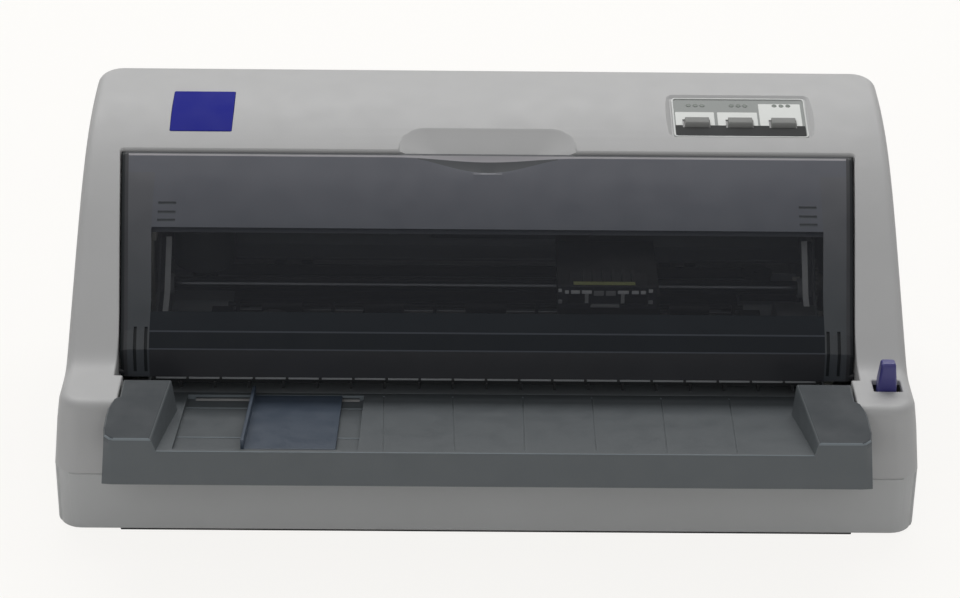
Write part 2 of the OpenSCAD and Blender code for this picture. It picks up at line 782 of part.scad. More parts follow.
module chassis() color(steel) difference() {
    block([-frame_out, chassis_u[0], chassis_z], [frame_out, chassis_u[1], chassis_top]);
    for (x = [-1, 1] * 60, u = [110, 146]) z_rod(x, u, chassis_z - 1, chassis_top + 1, 12);
}

module side_plate() {
    x_prism(frame_in, frame_out) polygon(frame_outline);
    for (u = [[70, 84], [200, 214]])
        block([frame_in - 8, u[0], chassis_top], [frame_in + small, u[1], chassis_top + frame_t]);
}

module frame_bores() {
    for (p = [front_roller_at, rear_roller_at])
        x_rod(0, frame_out + 1, p, 3 + fit);
    x_rod(0, frame_out + 1, tractor_at, 3 + fit);
    x_rod(0, frame_out + 1, tractor_guide_at, 3 + fit);
    x_rod(0, frame_out + 1, shaft_at, shaft_r + fit);
}

module side_frame_right() color(steel) {
    difference() {
        side_plate();
        frame_bores();
        x_rod(0, frame_out + 1, knob_at, 3 + fit);
        x_rod(0, frame_out + 1, pinion_at, 4);
    }
    x_rod(frame_out - small, gear_x + gear_w + 1, idler_at, 3);
    x_rod(frame_out - small, lever_x[1] + 1, lever_at, 3);
}

module side_frame_left() color(steel) {
    difference() {
        mirror([1, 0, 0]) side_plate();
        mirror([1, 0, 0]) frame_bores();
    }
    mirror([1, 0, 0]) x_rod(frame_out - small, frame_out + 9, thickness_at, 2.5);
}

module thickness_lever() color(white_plastic) mirror([1, 0, 0]) difference() {
    union() {
        x_rod(frame_out + 2, frame_out + 8, thickness_at, 6);
        x_prism(frame_out + 3, frame_out + 6) polygon([thickness_at + [-4, 0],
            thickness_at + [4, 0], thickness_at + [3, 46], thickness_at + [-3, 46]]);
        x_prism(frame_out + 1, frame_out + 9) translate(thickness_at + [-3.5, 42])
            square([7, 8]);
    }
    x_rod(frame_out + 1, frame_out + 9, thickness_at, 2.5 + fit);
}

module carriage_shaft() color(steel) x_rod(-frame_out - 1.5, frame_out + 1.5, shaft_at, shaft_r);

module guide_rail() color(steel) x_prism(-frame_in, frame_in) polygon([[rail_u[0], rail_z],
    [rail_u[1], rail_z], [rail_u[1], rail_flange_top],
    [rail_u[1] - rail_flange_t, rail_flange_top], [rail_u[1] - rail_flange_t, rail_z + rail_t],
    [rail_u[0], rail_z + rail_t]]);

// ---- carriage and its drive ----

head_w = 36;
head_u = [platen_at - 7, platen_at + 16];
head_top = 84;
nose_low = paper_z + 1.4;
belt_front = belt_u - pulley_r - gap - belt_t;
motor_pulley_x = -165;
idler_pulley_x = 160;
tab_u = 188;
cable_z = [84, 95];
cable_t = 0.5;
cable_bend_x = -30;
cable_end_x = 20;

module carriage() color(black_plastic) translate([carriage_x, 0, 0]) difference() {
    half = carriage_w / 2;
    union() {
        x_prism(-half, half) translate([shaft_at[0] - 9, carriage_low])
            square([18, carriage_top - carriage_low + small]);
        x_prism(-half, half) translate([platen_at - 9, carriage_top]) square([70, 3.5]);
        x_prism(-half, half) translate([platen_at - 9, carriage_low + 1])
            square([29, carriage_top - carriage_low - 1 + small]);
        x_prism(-8, 8) translate([shaft_at[0] + 8, carriage_low - 1])
            square([8, carriage_top - carriage_low + 2]);
        x_prism(-half, half) translate([rail_u[0] + 2, rail_z + rail_t + gap])
            square([6, carriage_top - rail_z - rail_t]);
        x_prism(-half, -half + 20) translate([tab_u, carriage_top])
            square([2, cable_z[1] - carriage_top]);
    }
    x_rod(-half - 1, half + 1, shaft_at, shaft_r + fit);
    x_prism(-head_w / 2 - gap, head_w / 2 + gap)
        translate([head_u[0] - gap, carriage_low]) square([head_u[1] - head_u[0] + 2 * gap, 40]);
    x_prism(-9, 9) translate([belt_front - gap, carriage_low - 2])
        square([belt_t + 2 * gap, belt_z + belt_w + gap - carriage_low + 2]);
}

module print_head() color(steel) translate([carriage_x, 0, 0]) {
    flange_z = carriage_top + 3.5;
    x_prism(-head_w / 2, head_w / 2) translate([head_u[0], 58])
        square([head_u[1] - head_u[0], flange_z - 58 + small]);
    x_prism(-head_w / 2 - 4, head_w / 2 + 4) translate([head_u[0] - 1, flange_z])
        square([head_u[1] - head_u[0] + 2, 2]);
    x_prism(-5, 5) polygon([[platen_at - 4, 58 + small], [platen_at - 2.5, nose_low],
        [platen_at + 2.5, nose_low], [platen_at + 4, 58 + small]]);
    for (i = [0:5]) x_prism(-15 + 5.6 * i, -13.4 + 5.6 * i)
        translate([head_u[0] + 2, flange_z + 2 - small]) square([18, 4]);
}

module head_cable() color(white_plastic) {
    front_run = tab_u + 2 + 0.05;
    rear_run = rail_u[1] - rail_flange_t - cable_t;
    mid = (front_run + rear_run + cable_t) / 2;
    bend_r = (rear_run + cable_t - front_run) / 2;
    z_prism(cable_z[0], cable_z[1]) {
        translate([cable_bend_x, front_run])
            square([carriage_x - carriage_w / 2 + 18 - cable_bend_x, cable_t]);
        translate([cable_bend_x, rear_run]) square([cable_end_x - cable_bend_x, cable_t]);
        difference() {
            translate([cable_bend_x, mid]) circle(bend_r);
            translate([cable_bend_x, mid]) circle(bend_r - cable_t);
            translate([cable_bend_x, mid - 10]) square(20);
        }
    }
}

motor_r = 18;
feed_motor_r = 17.5;
motor_h = 26;

module carriage_motor() color(steel) difference() {
    union() {
        z_rod(motor_pulley_x, belt_u, rail_z + rail_t, rail_z + rail_t + motor_h, motor_r);
        z_rod(motor_pulley_x, belt_u, rail_z + rail_t + motor_h - small,
            rail_z + rail_t + motor_h + 2, 5);
    }
    z_rod(motor_pulley_x, belt_u, rail_z, rail_z + rail_t + 6, screw_r + fit);
}

module belt_pulley(x, bore_r) difference() {
    union() {
        z_rod(x, belt_u, belt_z - 1.5, belt_z + belt_w + 1.5, pulley_r);
        z_rod(x, belt_u, belt_z - 1.5, belt_z - gap, pulley_r + 2);
        z_rod(x, belt_u, belt_z + belt_w + gap, belt_z + belt_w + 1.5, pulley_r + 2);
    }
    if (bore_r > 0) z_rod(x, belt_u, belt_z - 2, belt_z + belt_w + 2, bore_r);
}

module motor_pulley() color(steel) {
    belt_pulley(motor_pulley_x, 0);
    z_rod(motor_pulley_x, belt_u, belt_z + belt_w, rail_z + rail_t + 5, screw_r);
}

module idler_pulley() color(white_plastic) belt_pulley(idler_pulley_x, 2 + fit);

module tension_bracket() color(black_plastic) {
    low = belt_z - 8;
    block([idler_pulley_x - 10, belt_u - 6, low], [frame_in, belt_u + 6, low + 4]);
    block([frame_in - 3, belt_u - 6, low - 6], [frame_in, belt_u + 6, low + small]);
    z_rod(idler_pulley_x, belt_u, low + 4 - small, belt_z + belt_w + 2.5, 2);
    z_rod(idler_pulley_x, belt_u, low + 4 - small, belt_z - 1.5 - 0.1, 4);
}

module carriage_belt() color(black_plastic) z_prism(belt_z, belt_z + belt_w) difference() {
    belt_loop(pulley_r + gap + belt_t);
    belt_loop(pulley_r + gap);
}

module belt_loop(r) {
    for (x = [motor_pulley_x, idler_pulley_x]) translate([x, belt_u]) circle(r);
    translate([motor_pulley_x, belt_u - r])
        square([idler_pulley_x - motor_pulley_x, 2 * r]);
}

// ---- ribbon ----

ribbon_half = 158;
ribbon_arm = 12;
ribbon_low = 58;
ribbon_h = 18;
ribbon_u = [78, 110];
ribbon_knob_x = -120;
ribbon_w = 13;

module ribbon_cartridge() color(black_plastic) difference() {
    union() {
        block([-ribbon_half, ribbon_u[0], ribbon_low],
            [ribbon_half, ribbon_u[1], ribbon_low + ribbon_h]);
        both_sides() {
            block([ribbon_half - ribbon_arm, ribbon_u[1] - small, paper_z + 0.7],
                [ribbon_half, platen_at + ribbon_w / 2 + 1, ribbon_low + 8]);
            block([ribbon_half - small, ribbon_u[0] + 2, ribbon_low + 6],
                [frame_in, ribbon_u[0] + 10, ribbon_low + 12]);
        }
    }
    z_rod(ribbon_knob_x, (ribbon_u[0] + ribbon_u[1]) / 2, ribbon_low + ribbon_h - 6,
        ribbon_low + ribbon_h + 1, 3 + fit);
}

module ink_ribbon() color(black_plastic)
    block([-ribbon_half + ribbon_arm, platen_at - ribbon_w / 2, paper_z + 0.9],
        [ribbon_half - ribbon_arm, platen_at + ribbon_w / 2, paper_z + 1.1]);

module ribbon_knob() color(black_plastic) {
    mid = (ribbon_u[0] + ribbon_u[1]) / 2;
    z_rod(ribbon_knob_x, mid, ribbon_low + ribbon_h - 5, ribbon_low + ribbon_h + 2, 3);
    difference() {
        z_rod(ribbon_knob_x, mid, ribbon_low + ribbon_h + gap, ribbon_low + ribbon_h + 7, 8);
        for (i = [0:11]) z_rod(ribbon_knob_x + 8.4 * cos(i * 30), mid + 8.4 * sin(i * 30),
            ribbon_low + ribbon_h, ribbon_low + ribbon_h + 8, 1);
    }
}

// ---- paper feed ----

roller_half = 150;
pinch_half = 152;
pinch_shaft_r = 1.5;
tab_xs = [-146, -90, -30, 30, 90, 146];
guide_top_z = [55.5, 57.5];
mouth_u = 61;
rib_count = 19;
rib_pitch = 18.8;
rib_t = 1.4;

module platen_bar() color(black_plastic)
    block([-roller_half, platen_at - platen_depth / 2, chassis_top],
        [roller_half, platen_at + platen_depth / 2, platen_top]);

module feed_roller(at) {
    x_rod(-frame_out - 2, gear_x + gear_w, at, 3);
    x_rod(-roller_half, roller_half, at, roller_r);
}

module front_roller() color(rubber) feed_roller(front_roller_at);
module rear_roller() color(rubber) feed_roller(rear_roller_at);
module front_roller_gear() color(white_plastic)
    gear(front_roller_at, roller_teeth, front_gear_turn, 3);
module rear_roller_gear() color(white_plastic)
    gear(rear_roller_at, roller_teeth, rear_gear_turn, 3);

module idler_gear() color(white_plastic) gear(idler_at, idler_teeth, idler_turn, 3 + fit);

module motor_pinion() color(steel) {
    gear(pinion_at, pinion_teeth, pinion_turn, 0.4);
    x_rod(frame_in - 6, gear_x + gear_w, pinion_at, 2);
}

module knob_gear() color(white_plastic) {
    gear(knob_at, knob_teeth, knob_turn, 1);
    x_rod(frame_in - 4, gear_x + gear_w, knob_at, 3);
    x_rod(gear_x + gear_w - small, knob_face_x - 4, knob_at, knob_shaft_r);
}

module feed_motor() color(steel) difference() {
    x_rod(frame_in - 22, frame_in, pinion_at, feed_motor_r);
    x_rod(frame_in - 7, frame_in + 1, pinion_at, 2 + fit);
}

module pinch_rollers(at) {
    x_rod(-pinch_half, pinch_half, at, pinch_shaft_r);
    for (x = [-120, -60, 0, 60, 120]) x_rod(x - 12, x + 12, at, pinch_r);
}

module front_pinch_rollers() color(black_plastic) pinch_rollers(front_pinch_at);
module rear_pinch_rollers() color(black_plastic) pinch_rollers(rear_pinch_at);

module pinch_tabs(at) {
    for (x = tab_xs) x_prism(x - 1, x + 1) difference() {
        translate([at[0] - 5, paper_z + 2]) square([10, guide_top_z[0] - paper_z - 2 + small]);
        translate(at) circle(pinch_shaft_r + fit);
    }
}

module upper_paper_guide() color(black_plastic) {
    x_prism(-frame_in, frame_in) polygon([[mouth_u, 58.5], [84, 51], [86, 51], [86, 57.5],
        [84, 57.5], [84, 53], [mouth_u, 60.5]]);
    block([-ribbon_half, 86 - small, guide_top_z[0]], [ribbon_half, 106, guide_top_z[1]]);
    pinch_tabs(front_pinch_at);
    for (i = [0:rib_count - 1]) {
        x = (i - (rib_count - 1) / 2) * rib_pitch;
        block([x - rib_t / 2, mouth_u - 2.5, 56.5], [x + rib_t / 2, mouth_u + 2, 60.3]);
    }
}

module rear_pinch_holder() color(black_plastic) {
    at = rear_pinch_at;
    block([-148, at[0] - 6, guide_top_z[0]], [148, at[0] + 10, guide_top_z[1]]);
    pinch_tabs(at);
    both_sides() block([140, at[0] + 5.5, platen_top], [148, at[0] + 10, guide_top_z[0] + small]);
}

module lower_paper_guide() color(black_plastic) difference() {
    x_prism(-frame_in, frame_in) polygon([[64, 50.4], [80, platen_top], [182, platen_top],
        [194, 60], [195.5, 58.5], [183.5, platen_top - 2], [79.5, platen_top - 2], [64, 48.4]]);
    for (u = [front_roller_at[0], rear_roller_at[0]])
        block([-roller_half - 1, u - roller_r - 1, 40], [roller_half + 1, u + roller_r + 1, 60]);
    block([-roller_half - 1, platen_at - platen_depth / 2 - gap, 40],
        [roller_half + 1, platen_at + platen_depth / 2 + gap, 60]);
}

// ---- sprocket feed ----

drive_side = 6;
pin_r = 1.6;
pin_reach = 3.4;
slot_half = 4.5;
wheel_half = 4.2;
hinge_x = tractor_w / 2 + 2.6;
hinge_z = 12.5;
hinge_r = 2.2;
flap_low = sprocket_r + 0.7;
flap_t = 2;
flap_half = tractor_w / 2 - 0.2;

module tractor_gear() color(white_plastic) gear(tractor_at, tractor_teeth, tractor_turn, 3);

module tractor_drive_shaft() color(steel) {
    x_prism(-frame_in + 2, frame_in - 2) translate(tractor_at)
        square(drive_side, center = true);
    x_rod(-frame_out - 2, gear_x + gear_w, tractor_at, 3);
}

module tractor_guide_shaft() color(steel)
    x_rod(-frame_out - 2, frame_out + 2, tractor_guide_at, 3);

// Right sprocket unit, built about the drive shaft at the given distance from the middle.
module tractor_body() color(black_plastic) translate([tractor_x, 0, 0]) {
    half = tractor_w / 2;
    difference() {
        x_prism(-half, half) translate(tractor_at + [-10, -27]) square([22, 39]);
        x_prism(-slot_half, slot_half) translate(tractor_at + [-11, -17.2]) square([24, 40]);
        x_rod(-half - 1, half + 1, tractor_at, drive_side / 2 * sqrt(2) + fit);
        x_rod(-half - 1, half + 1, tractor_guide_at, 3 + fit);
    }
    for (u = [-10, 9]) block([half - small, tractor_at[0] + u, tractor_at[1] + 8],
        [hinge_x + 2, tractor_at[0] + u + 3, tractor_at[1] + hinge_z + 1.6]);
    x_rod_y(hinge_x, tractor_at[1] + hinge_z, tractor_at[0] + 1, 22, 1);
}

module tractor_flap() color(black_plastic) translate([tractor_x, 0, 0]) difference() {
    union() {
        block([-flap_half, tractor_at[0] - 14, tractor_at[1] + flap_low],
            [flap_half, tractor_at[0] + 14, tractor_at[1] + flap_low + flap_t]);
        block([flap_half - small, tractor_at[0] - 6.6, tractor_at[1] + flap_low],
            [hinge_x, tractor_at[0] + 8.6, tractor_at[1] + flap_low + flap_t]);
        x_rod_y(hinge_x, tractor_at[1] + hinge_z, tractor_at[0] + 1, 15.2, hinge_r);
    }
    block([-3, tractor_at[0] - 11.5, tractor_at[1]],
        [3, tractor_at[0] + 11.5, tractor_at[1] + 30]);
    x_rod_y(hinge_x, tractor_at[1] + hinge_z, tractor_at[0] + 1, 24, 1 + fit);
}

module sprocket_wheel() color(white_plastic) translate([tractor_x, 0, 0]) difference() {
    union() {
        x_rod(-wheel_half, wheel_half, tractor_at, sprocket_r);
        for (i = [0:sprocket_pins - 1])
            translate([0, front_y + tractor_at[0], tractor_at[1]])
                rotate([(i + 0.5) * 360 / sprocket_pins, 0, 0])
                translate([0, 0, sprocket_r - 3]) cylinder(h = 3 + pin_reach, r = pin_r);
    }
    x_prism(-wheel_half - 1, wheel_half + 1) translate(tractor_at)
        square(drive_side + 2 * fit, center = true);
}

module tractor_left() mirror([1, 0, 0]) tractor_body();
module tractor_right() tractor_body();
module tractor_cover_left() mirror([1, 0, 0]) tractor_flap();
module tractor_cover_right() tractor_flap();
module sprocket_left() mirror([1, 0, 0]) sprocket_wheel();
module sprocket_right() sprocket_wheel();

// ---- electrics ----

board_top = board_z + board_t;

module main_board() color(board_green) {
    block([main_board_x[0], main_board_u[0], board_z],
        [main_board_x[1], main_board_u[1], board_top]);
    block([-40, 160, board_top - small], [-12, 188, board_top + 3]);
    for (i = [0:2]) block([10 + i * 22, 150, board_top - small],
        [24 + i * 22, 172, board_top + 4]);
    block([-70, 210, board_top - small], [-20, 216, board_top + 9]);
}

module rear_connectors() color(black_plastic) {
    block([parallel_x[0], case_d - 24, board_top],
        [parallel_x[1], case_d - lower_inset, board_top + parallel_h]);
    block([usb_x[0], case_d - 20, board_top],
        [usb_x[1], case_d - lower_inset, board_top + usb_h]);
}

module power_board() color(board_green) {
    block([power_board_x[0], power_board_u[0], board_z],
        [power_board_x[1], power_board_u[1], board_top]);
    block([-150, 90, board_top - small], [-120, 122, board_top + 16]);
    for (u = [140, 162]) z_rod(-146, u, board_top - small, board_top + 15, 8);
    block([-128, 134, board_top - small], [-122, 174, board_top + 14]);
}

module power_inlet() color(black_plastic) difference() {
    block([inlet_x - inlet_w / 2, case_d - lower_inset - inlet_depth, inlet_z - inlet_h / 2],
        [inlet_x + inlet_w / 2, case_d - lower_inset, inlet_z + inlet_h / 2]);
    block([inlet_x - inlet_w / 2 + 2, case_d - lower_inset - 16, inlet_z - inlet_h / 2 + 2],
        [inlet_x + inlet_w / 2 - 2, case_d, inlet_z + inlet_h / 2 - 2]);
}

module power_switch() color(black_plastic) {
    half_h = switch_h / 2 - 1.5;
    half_w = switch_w / 2 - gap;
    for (side = [-1, 1]) x_rod_y(switch_pivot_x, switch_z,
        switch_u + side * (half_w + 0.8), 2.4, switch_pin_r);
    translate([switch_pivot_x, front_y + switch_u + half_w, switch_z]) rotate([90, 0, 0])
        linear_extrude(2 * half_w)
        polygon([[3, -3], [3, 3], [-3.5, half_h], [-5.2, half_h], [-3.8, 0],
            [-4.2, -half_h], [-3, -half_h]]);
}

lower_case();
upper_case();
rubber_feet();
screws();
badge_plate();
panel_label();
panel_board();
button_feed();
button_load();
button_pause();
front_tray();
edge_guide();
printer_cover();
release_lever();
feed_knob();
knob_gear();
chassis();
side_frame_left();
side_frame_right();
carriage_shaft();
guide_rail();
carriage();
print_head();
head_cable();
carriage_motor();
motor_pulley();
idler_pulley();
tension_bracket();
carriage_belt();
ribbon_cartridge();
ink_ribbon();
ribbon_knob();
platen_bar();
front_roller();
rear_roller();
front_pinch_rollers();
rear_pinch_rollers();
rear_pinch_holder();
feed_motor();
motor_pinion();
idler_gear();
front_roller_gear();
rear_roller_gear();
tractor_gear();
tractor_drive_shaft();
tractor_guide_shaft();
tractor_left();
tractor_right();
tractor_cover_left();
tractor_cover_right();
sprocket_left();
sprocket_right();
upper_paper_guide();
lower_paper_guide();
main_board();
rear_connectors();
power_board();
power_inlet();
power_switch();
thickness_lever();
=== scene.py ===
"""Looks of the flatbed dot matrix printer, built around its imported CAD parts.

Places are given in millimetres as (x, u, z): x across, u behind the case front, z up.
"""
import json
from functools import partial
from math import atan, atan2, copysign, cos, exp, log1p, pi, radians, sin, sqrt, tan

import bmesh
import bpy
import numpy as np
from mathutils import Matrix, Vector


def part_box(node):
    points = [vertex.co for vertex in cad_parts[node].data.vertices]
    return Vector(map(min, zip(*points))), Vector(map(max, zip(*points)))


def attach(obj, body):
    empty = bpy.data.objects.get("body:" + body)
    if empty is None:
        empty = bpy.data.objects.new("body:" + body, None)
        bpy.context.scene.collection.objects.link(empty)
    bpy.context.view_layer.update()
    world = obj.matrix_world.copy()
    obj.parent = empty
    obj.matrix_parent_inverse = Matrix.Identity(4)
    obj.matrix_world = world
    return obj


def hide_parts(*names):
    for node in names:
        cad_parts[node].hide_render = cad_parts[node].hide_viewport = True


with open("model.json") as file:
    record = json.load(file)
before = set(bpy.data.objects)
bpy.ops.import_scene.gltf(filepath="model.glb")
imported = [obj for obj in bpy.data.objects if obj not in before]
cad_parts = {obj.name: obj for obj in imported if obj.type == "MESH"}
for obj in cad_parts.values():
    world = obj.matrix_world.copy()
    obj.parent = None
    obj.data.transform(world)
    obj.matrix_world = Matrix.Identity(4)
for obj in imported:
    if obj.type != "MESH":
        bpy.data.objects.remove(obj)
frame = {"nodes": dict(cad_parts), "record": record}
nodes = frame["nodes"]
scene = bpy.context.scene
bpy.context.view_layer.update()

MM = 0.001
CASE_D = 242.0
TRAY_OUT = 33.0
FRONT_Y = -(CASE_D + TRAY_OUT) / 2 + TRAY_OUT

CASE_HALF = 234.0
TOWER_HALF = 231.0
CORNER_R = 14.0
PART_Z = 36.5
SHOULDER_Z = 75.0
LEAN = 9.0
SLOPE_U = 50.0
SLOPE = tan(radians(37.4))
FOOT_SOFT = 3.2
CURVE_U = 106.0
START_PULL, END_PULL, END_RISE = 62, 60, 0.017
CASE_H = 170.0
EDGE_R = 5.5
SIDE_DRAFT = 1.3
WALL = 2.5
CRISP = 32    # edges bent by more degrees than this stay sharp
JOIN = 1e-6    # metres between points that count as one


def at(x, u, z):
    """Point of the row frame, in metres, from a place in millimetres."""
    return Vector((x, FRONT_Y + u, z)) * MM


def linear(*rgb):
    """Linear colour from 0 to 255 screen values."""
    out = []
    for c in rgb:
        c /= 255
        out.append(c / 12.92 if c <= 0.04045 else ((c + 0.055) / 1.055) ** 2.4)
    return tuple(out) + (1.0,)


# ---- the roof line ----

def roof_curve():
    """Points (u, z) from the end of the straight slope to the rear edge."""
    start = np.array([CURVE_U, SHOULDER_Z + (CURVE_U - SLOPE_U) * SLOPE])
    end = np.array([CASE_D, CASE_H])
    angle = atan(SLOPE)
    pull_1 = start + START_PULL * np.array([cos(angle), sin(angle)])
    pull_2 = end - END_PULL * np.array([1, END_RISE])
    t = np.linspace(0, 1, 80)[:, None]
    return ((1 - t) ** 3 * start + 3 * t * (1 - t) ** 2 * pull_1
            + 3 * t * t * (1 - t) * pull_2 + t ** 3 * end)


ROOF = roof_curve()


def roof(u):
    """Height of the roof, with a soft foot where the slope leaves the shoulders."""
    if u > CURVE_U:
        return float(np.interp(u, ROOF[:, 0], ROOF[:, 1]))
    s = (u - SLOPE_U) / FOOT_SOFT
    return SHOULDER_Z + SLOPE * FOOT_SOFT * (s if s > 30 else log1p(exp(s)))


def roof_tilt(u):
    return atan2(roof(u + 1) - roof(u - 1), 2)


# ---- meshes ----

def link_object(name, data):
    obj = bpy.data.objects.new(name, data)
    scene.collection.objects.link(obj)
    return obj


def edit_mesh(mesh, change):
    bm = bmesh.new()
    bm.from_mesh(mesh)
    change(bm)
    bm.to_mesh(mesh)
    bm.free()


def new_object(name, verts, faces, place=at):
    mesh = bpy.data.meshes.new(name)
    mesh.from_pydata([place(*v) for v in verts], [], faces)
    edit_mesh(mesh, lambda bm: bmesh.ops.recalc_face_normals(bm, faces=bm.faces))
    mesh.validate()
    return link_object(name, mesh)


def ring_solid(name, rings, x0=0.0, place=at):
    """Closed solid through rings of (half width, u, z) stations, mirrored about x0."""
    n = len(rings[0])
    verts, faces = [], []
    for ring in rings:
        for side in (1, -1):
            verts += [(x0 + side * h, u, z) for h, u, z in ring]

    def v(r, side, i):
        return (2 * r + (0 if side > 0 else 1)) * n + i

    for r in range(len(rings) - 1):
        for i in range(n - 1):
            faces.append((v(r, 1, i), v(r, 1, i + 1), v(r + 1, 1, i + 1), v(r + 1, 1, i)))
            faces.append((v(r, -1, i), v(r + 1, -1, i), v(r + 1, -1, i + 1), v(r, -1, i + 1)))
        for i in (0, n - 1):
            faces.append((v(r, 1, i), v(r, -1, i), v(r + 1, -1, i), v(r + 1, 1, i)))
    for r in (0, len(rings) - 1):
        for i in range(n - 1):
            faces.append((v(r, 1, i), v(r, -1, i), v(r, -1, i + 1), v(r, 1, i + 1)))
    return new_object(name, verts, faces, place)


def loop_solid(name, loops, place=at):
    """Closed solid through closed loops of points, with flat ends."""
    n = len(loops[0])
    verts = [p for loop in loops for p in loop]
    faces = [tuple(range(n)), tuple(range(len(verts) - n, len(verts)))]
    for r in range(len(loops) - 1):
        for i in range(n):
            a, b = r * n + i, r * n + (i + 1) % n
            faces.append((a, b, b + n, a + n))
    return new_object(name, verts, faces, place)


def prism_x(name, x0, x1, profile):
    """Solid between two places across, with a profile of (u, z) points."""
    return loop_solid(name, [[(x, u, z) for u, z in profile] for x in (x0, x1)])


def flat(stations, z):
    """Ring of (half width, u) stations, all at the same height."""
    return [(h, u, z) for h, u in stations]


def quarter_turn(steps):
    return [radians(90 * i / steps) for i in range(steps + 1)]


def outline(half, front, rear, r, us=(), steps=7):
    """Right-hand stations (half width, u) of a rounded rectangle, from front to rear."""
    turn = quarter_turn(steps)
    return ([(half - r + r * sin(a), front + r - r * cos(a)) for a in turn]
            + [(half, u) for u in us]
            + [(half - r + r * cos(a), rear - r + r * sin(a)) for a in turn])


def quarter(r, steps=5):
    """(inset, drop) steps of a rounded edge of radius r, from the wall to the top."""
    return [(r * (1 - cos(a)), r * (1 - sin(a))) for a in quarter_turn(steps)]


def pad(name, half, front, rear, low, high, corner, edge, x0, place):
    """Rounded-edged plate or block, in plan a rounded rectangle."""
    rings = [flat(outline(half, front, rear, corner, steps=4), low)]
    for inset, drop in quarter(edge, 3):
        rings.append(flat(outline(half - inset, front + inset, rear - inset,
                                  max(corner - inset, 0.05), steps=4), high - drop))
    return ring_solid(name, rings, x0, place)


def lathe_x(name, profile, u0, z0, steps=48):
    """Solid turned about a line along X; profile is a list of (x, radius)."""
    turn = [2 * pi * k / steps for k in range(steps)]
    return loop_solid(name, [[(x, u0 + r * cos(a), z0 + r * sin(a)) for a in turn]
                             for x, r in profile])


def rod(name, x0, x1, r, u0, z0, steps):
    return lathe_x(name, [(x0, r), (x1, r)], u0, z0, steps)


def box_solid(name, low, high, place=at):
    (a, b, c), (d, e, f) = low, high
    return loop_solid(name, [[(a, b, z), (d, b, z), (d, e, z), (a, e, z)] for z in (c, f)],
                      place)


def assign(target, values):
    for key, value in values.items():
        setattr(target, key, value)


def modify(obj, kind, **values):
    assign(obj.modifiers.new(kind.lower(), kind), values)


def cut(obj, cutters, operation="DIFFERENCE"):
    """Applies solid booleans in turn and removes the cutters."""
    for cutter in cutters:
        modify(obj, "BOOLEAN", operation=operation, solver="MANIFOLD",
               material_mode="TRANSFER", object=cutter)
    bpy.context.view_layer.update()
    mesh = bpy.data.meshes.new_from_object(
        obj.evaluated_get(bpy.context.evaluated_depsgraph_get()))
    obj.modifiers.clear()
    obj.data = mesh
    mesh.name = obj.name
    for cutter in cutters:
        bpy.data.objects.remove(cutter)


def shade_smooth(obj):
    for poly in obj.data.polygons:
        poly.use_smooth = True


def soften(obj, width=0.0, angle=30, segments=2, weld=False, crisp=None):
    """Smooth shading with rounded edges; edges above the crisp angle are marked first."""
    if crisp:
        sharpen(obj, crisp)
    shade_smooth(obj)
    if weld:
        modify(obj, "WELD", merge_threshold=JOIN)
        modify(obj, "DECIMATE", decimate_type="DISSOLVE", angle_limit=radians(0.6))
    if width:
        modify(obj, "BEVEL", width=width * MM, segments=segments, limit_method="ANGLE",
               angle_limit=radians(angle))
    modify(obj, "WEIGHTED_NORMAL", keep_sharp=True, weight=80)


def sharpen(obj, angle):
    """Marks edges above the angle as sharp."""
    def mark(bm):
        for edge in bm.edges:
            if len(edge.link_faces) == 2 and edge.calc_face_angle(0) > radians(angle):
                edge.smooth = False

    edit_mesh(obj.data, mark)


# ---- materials ----

def feed(tree, node, inputs):
    """Gives each named socket of a node a value, or the output that feeds it."""
    for key, value in inputs.items():
        if isinstance(value, bpy.types.NodeSocket):
            tree.links.new(value, node.inputs[key])
        else:
            node.inputs[key].default_value = value


def with_nodes(block):
    block.use_nodes = True
    return block, block.node_tree


def new_node(tree, kind, inputs=None, out=0, **values):
    """Adds a shader node and gives back one of its outputs."""
    node = tree.nodes.new("ShaderNode" + kind)
    assign(node, values)
    feed(tree, node, inputs or {})
    return node.outputs[out]


MOTTLE_SCALE, GLOSS_SCALE, GLOSS_VARY = 18, 70, 0.07
WEAR_SHEEN_R, GRAIN_H = 0.7, 0.15    # millimetres


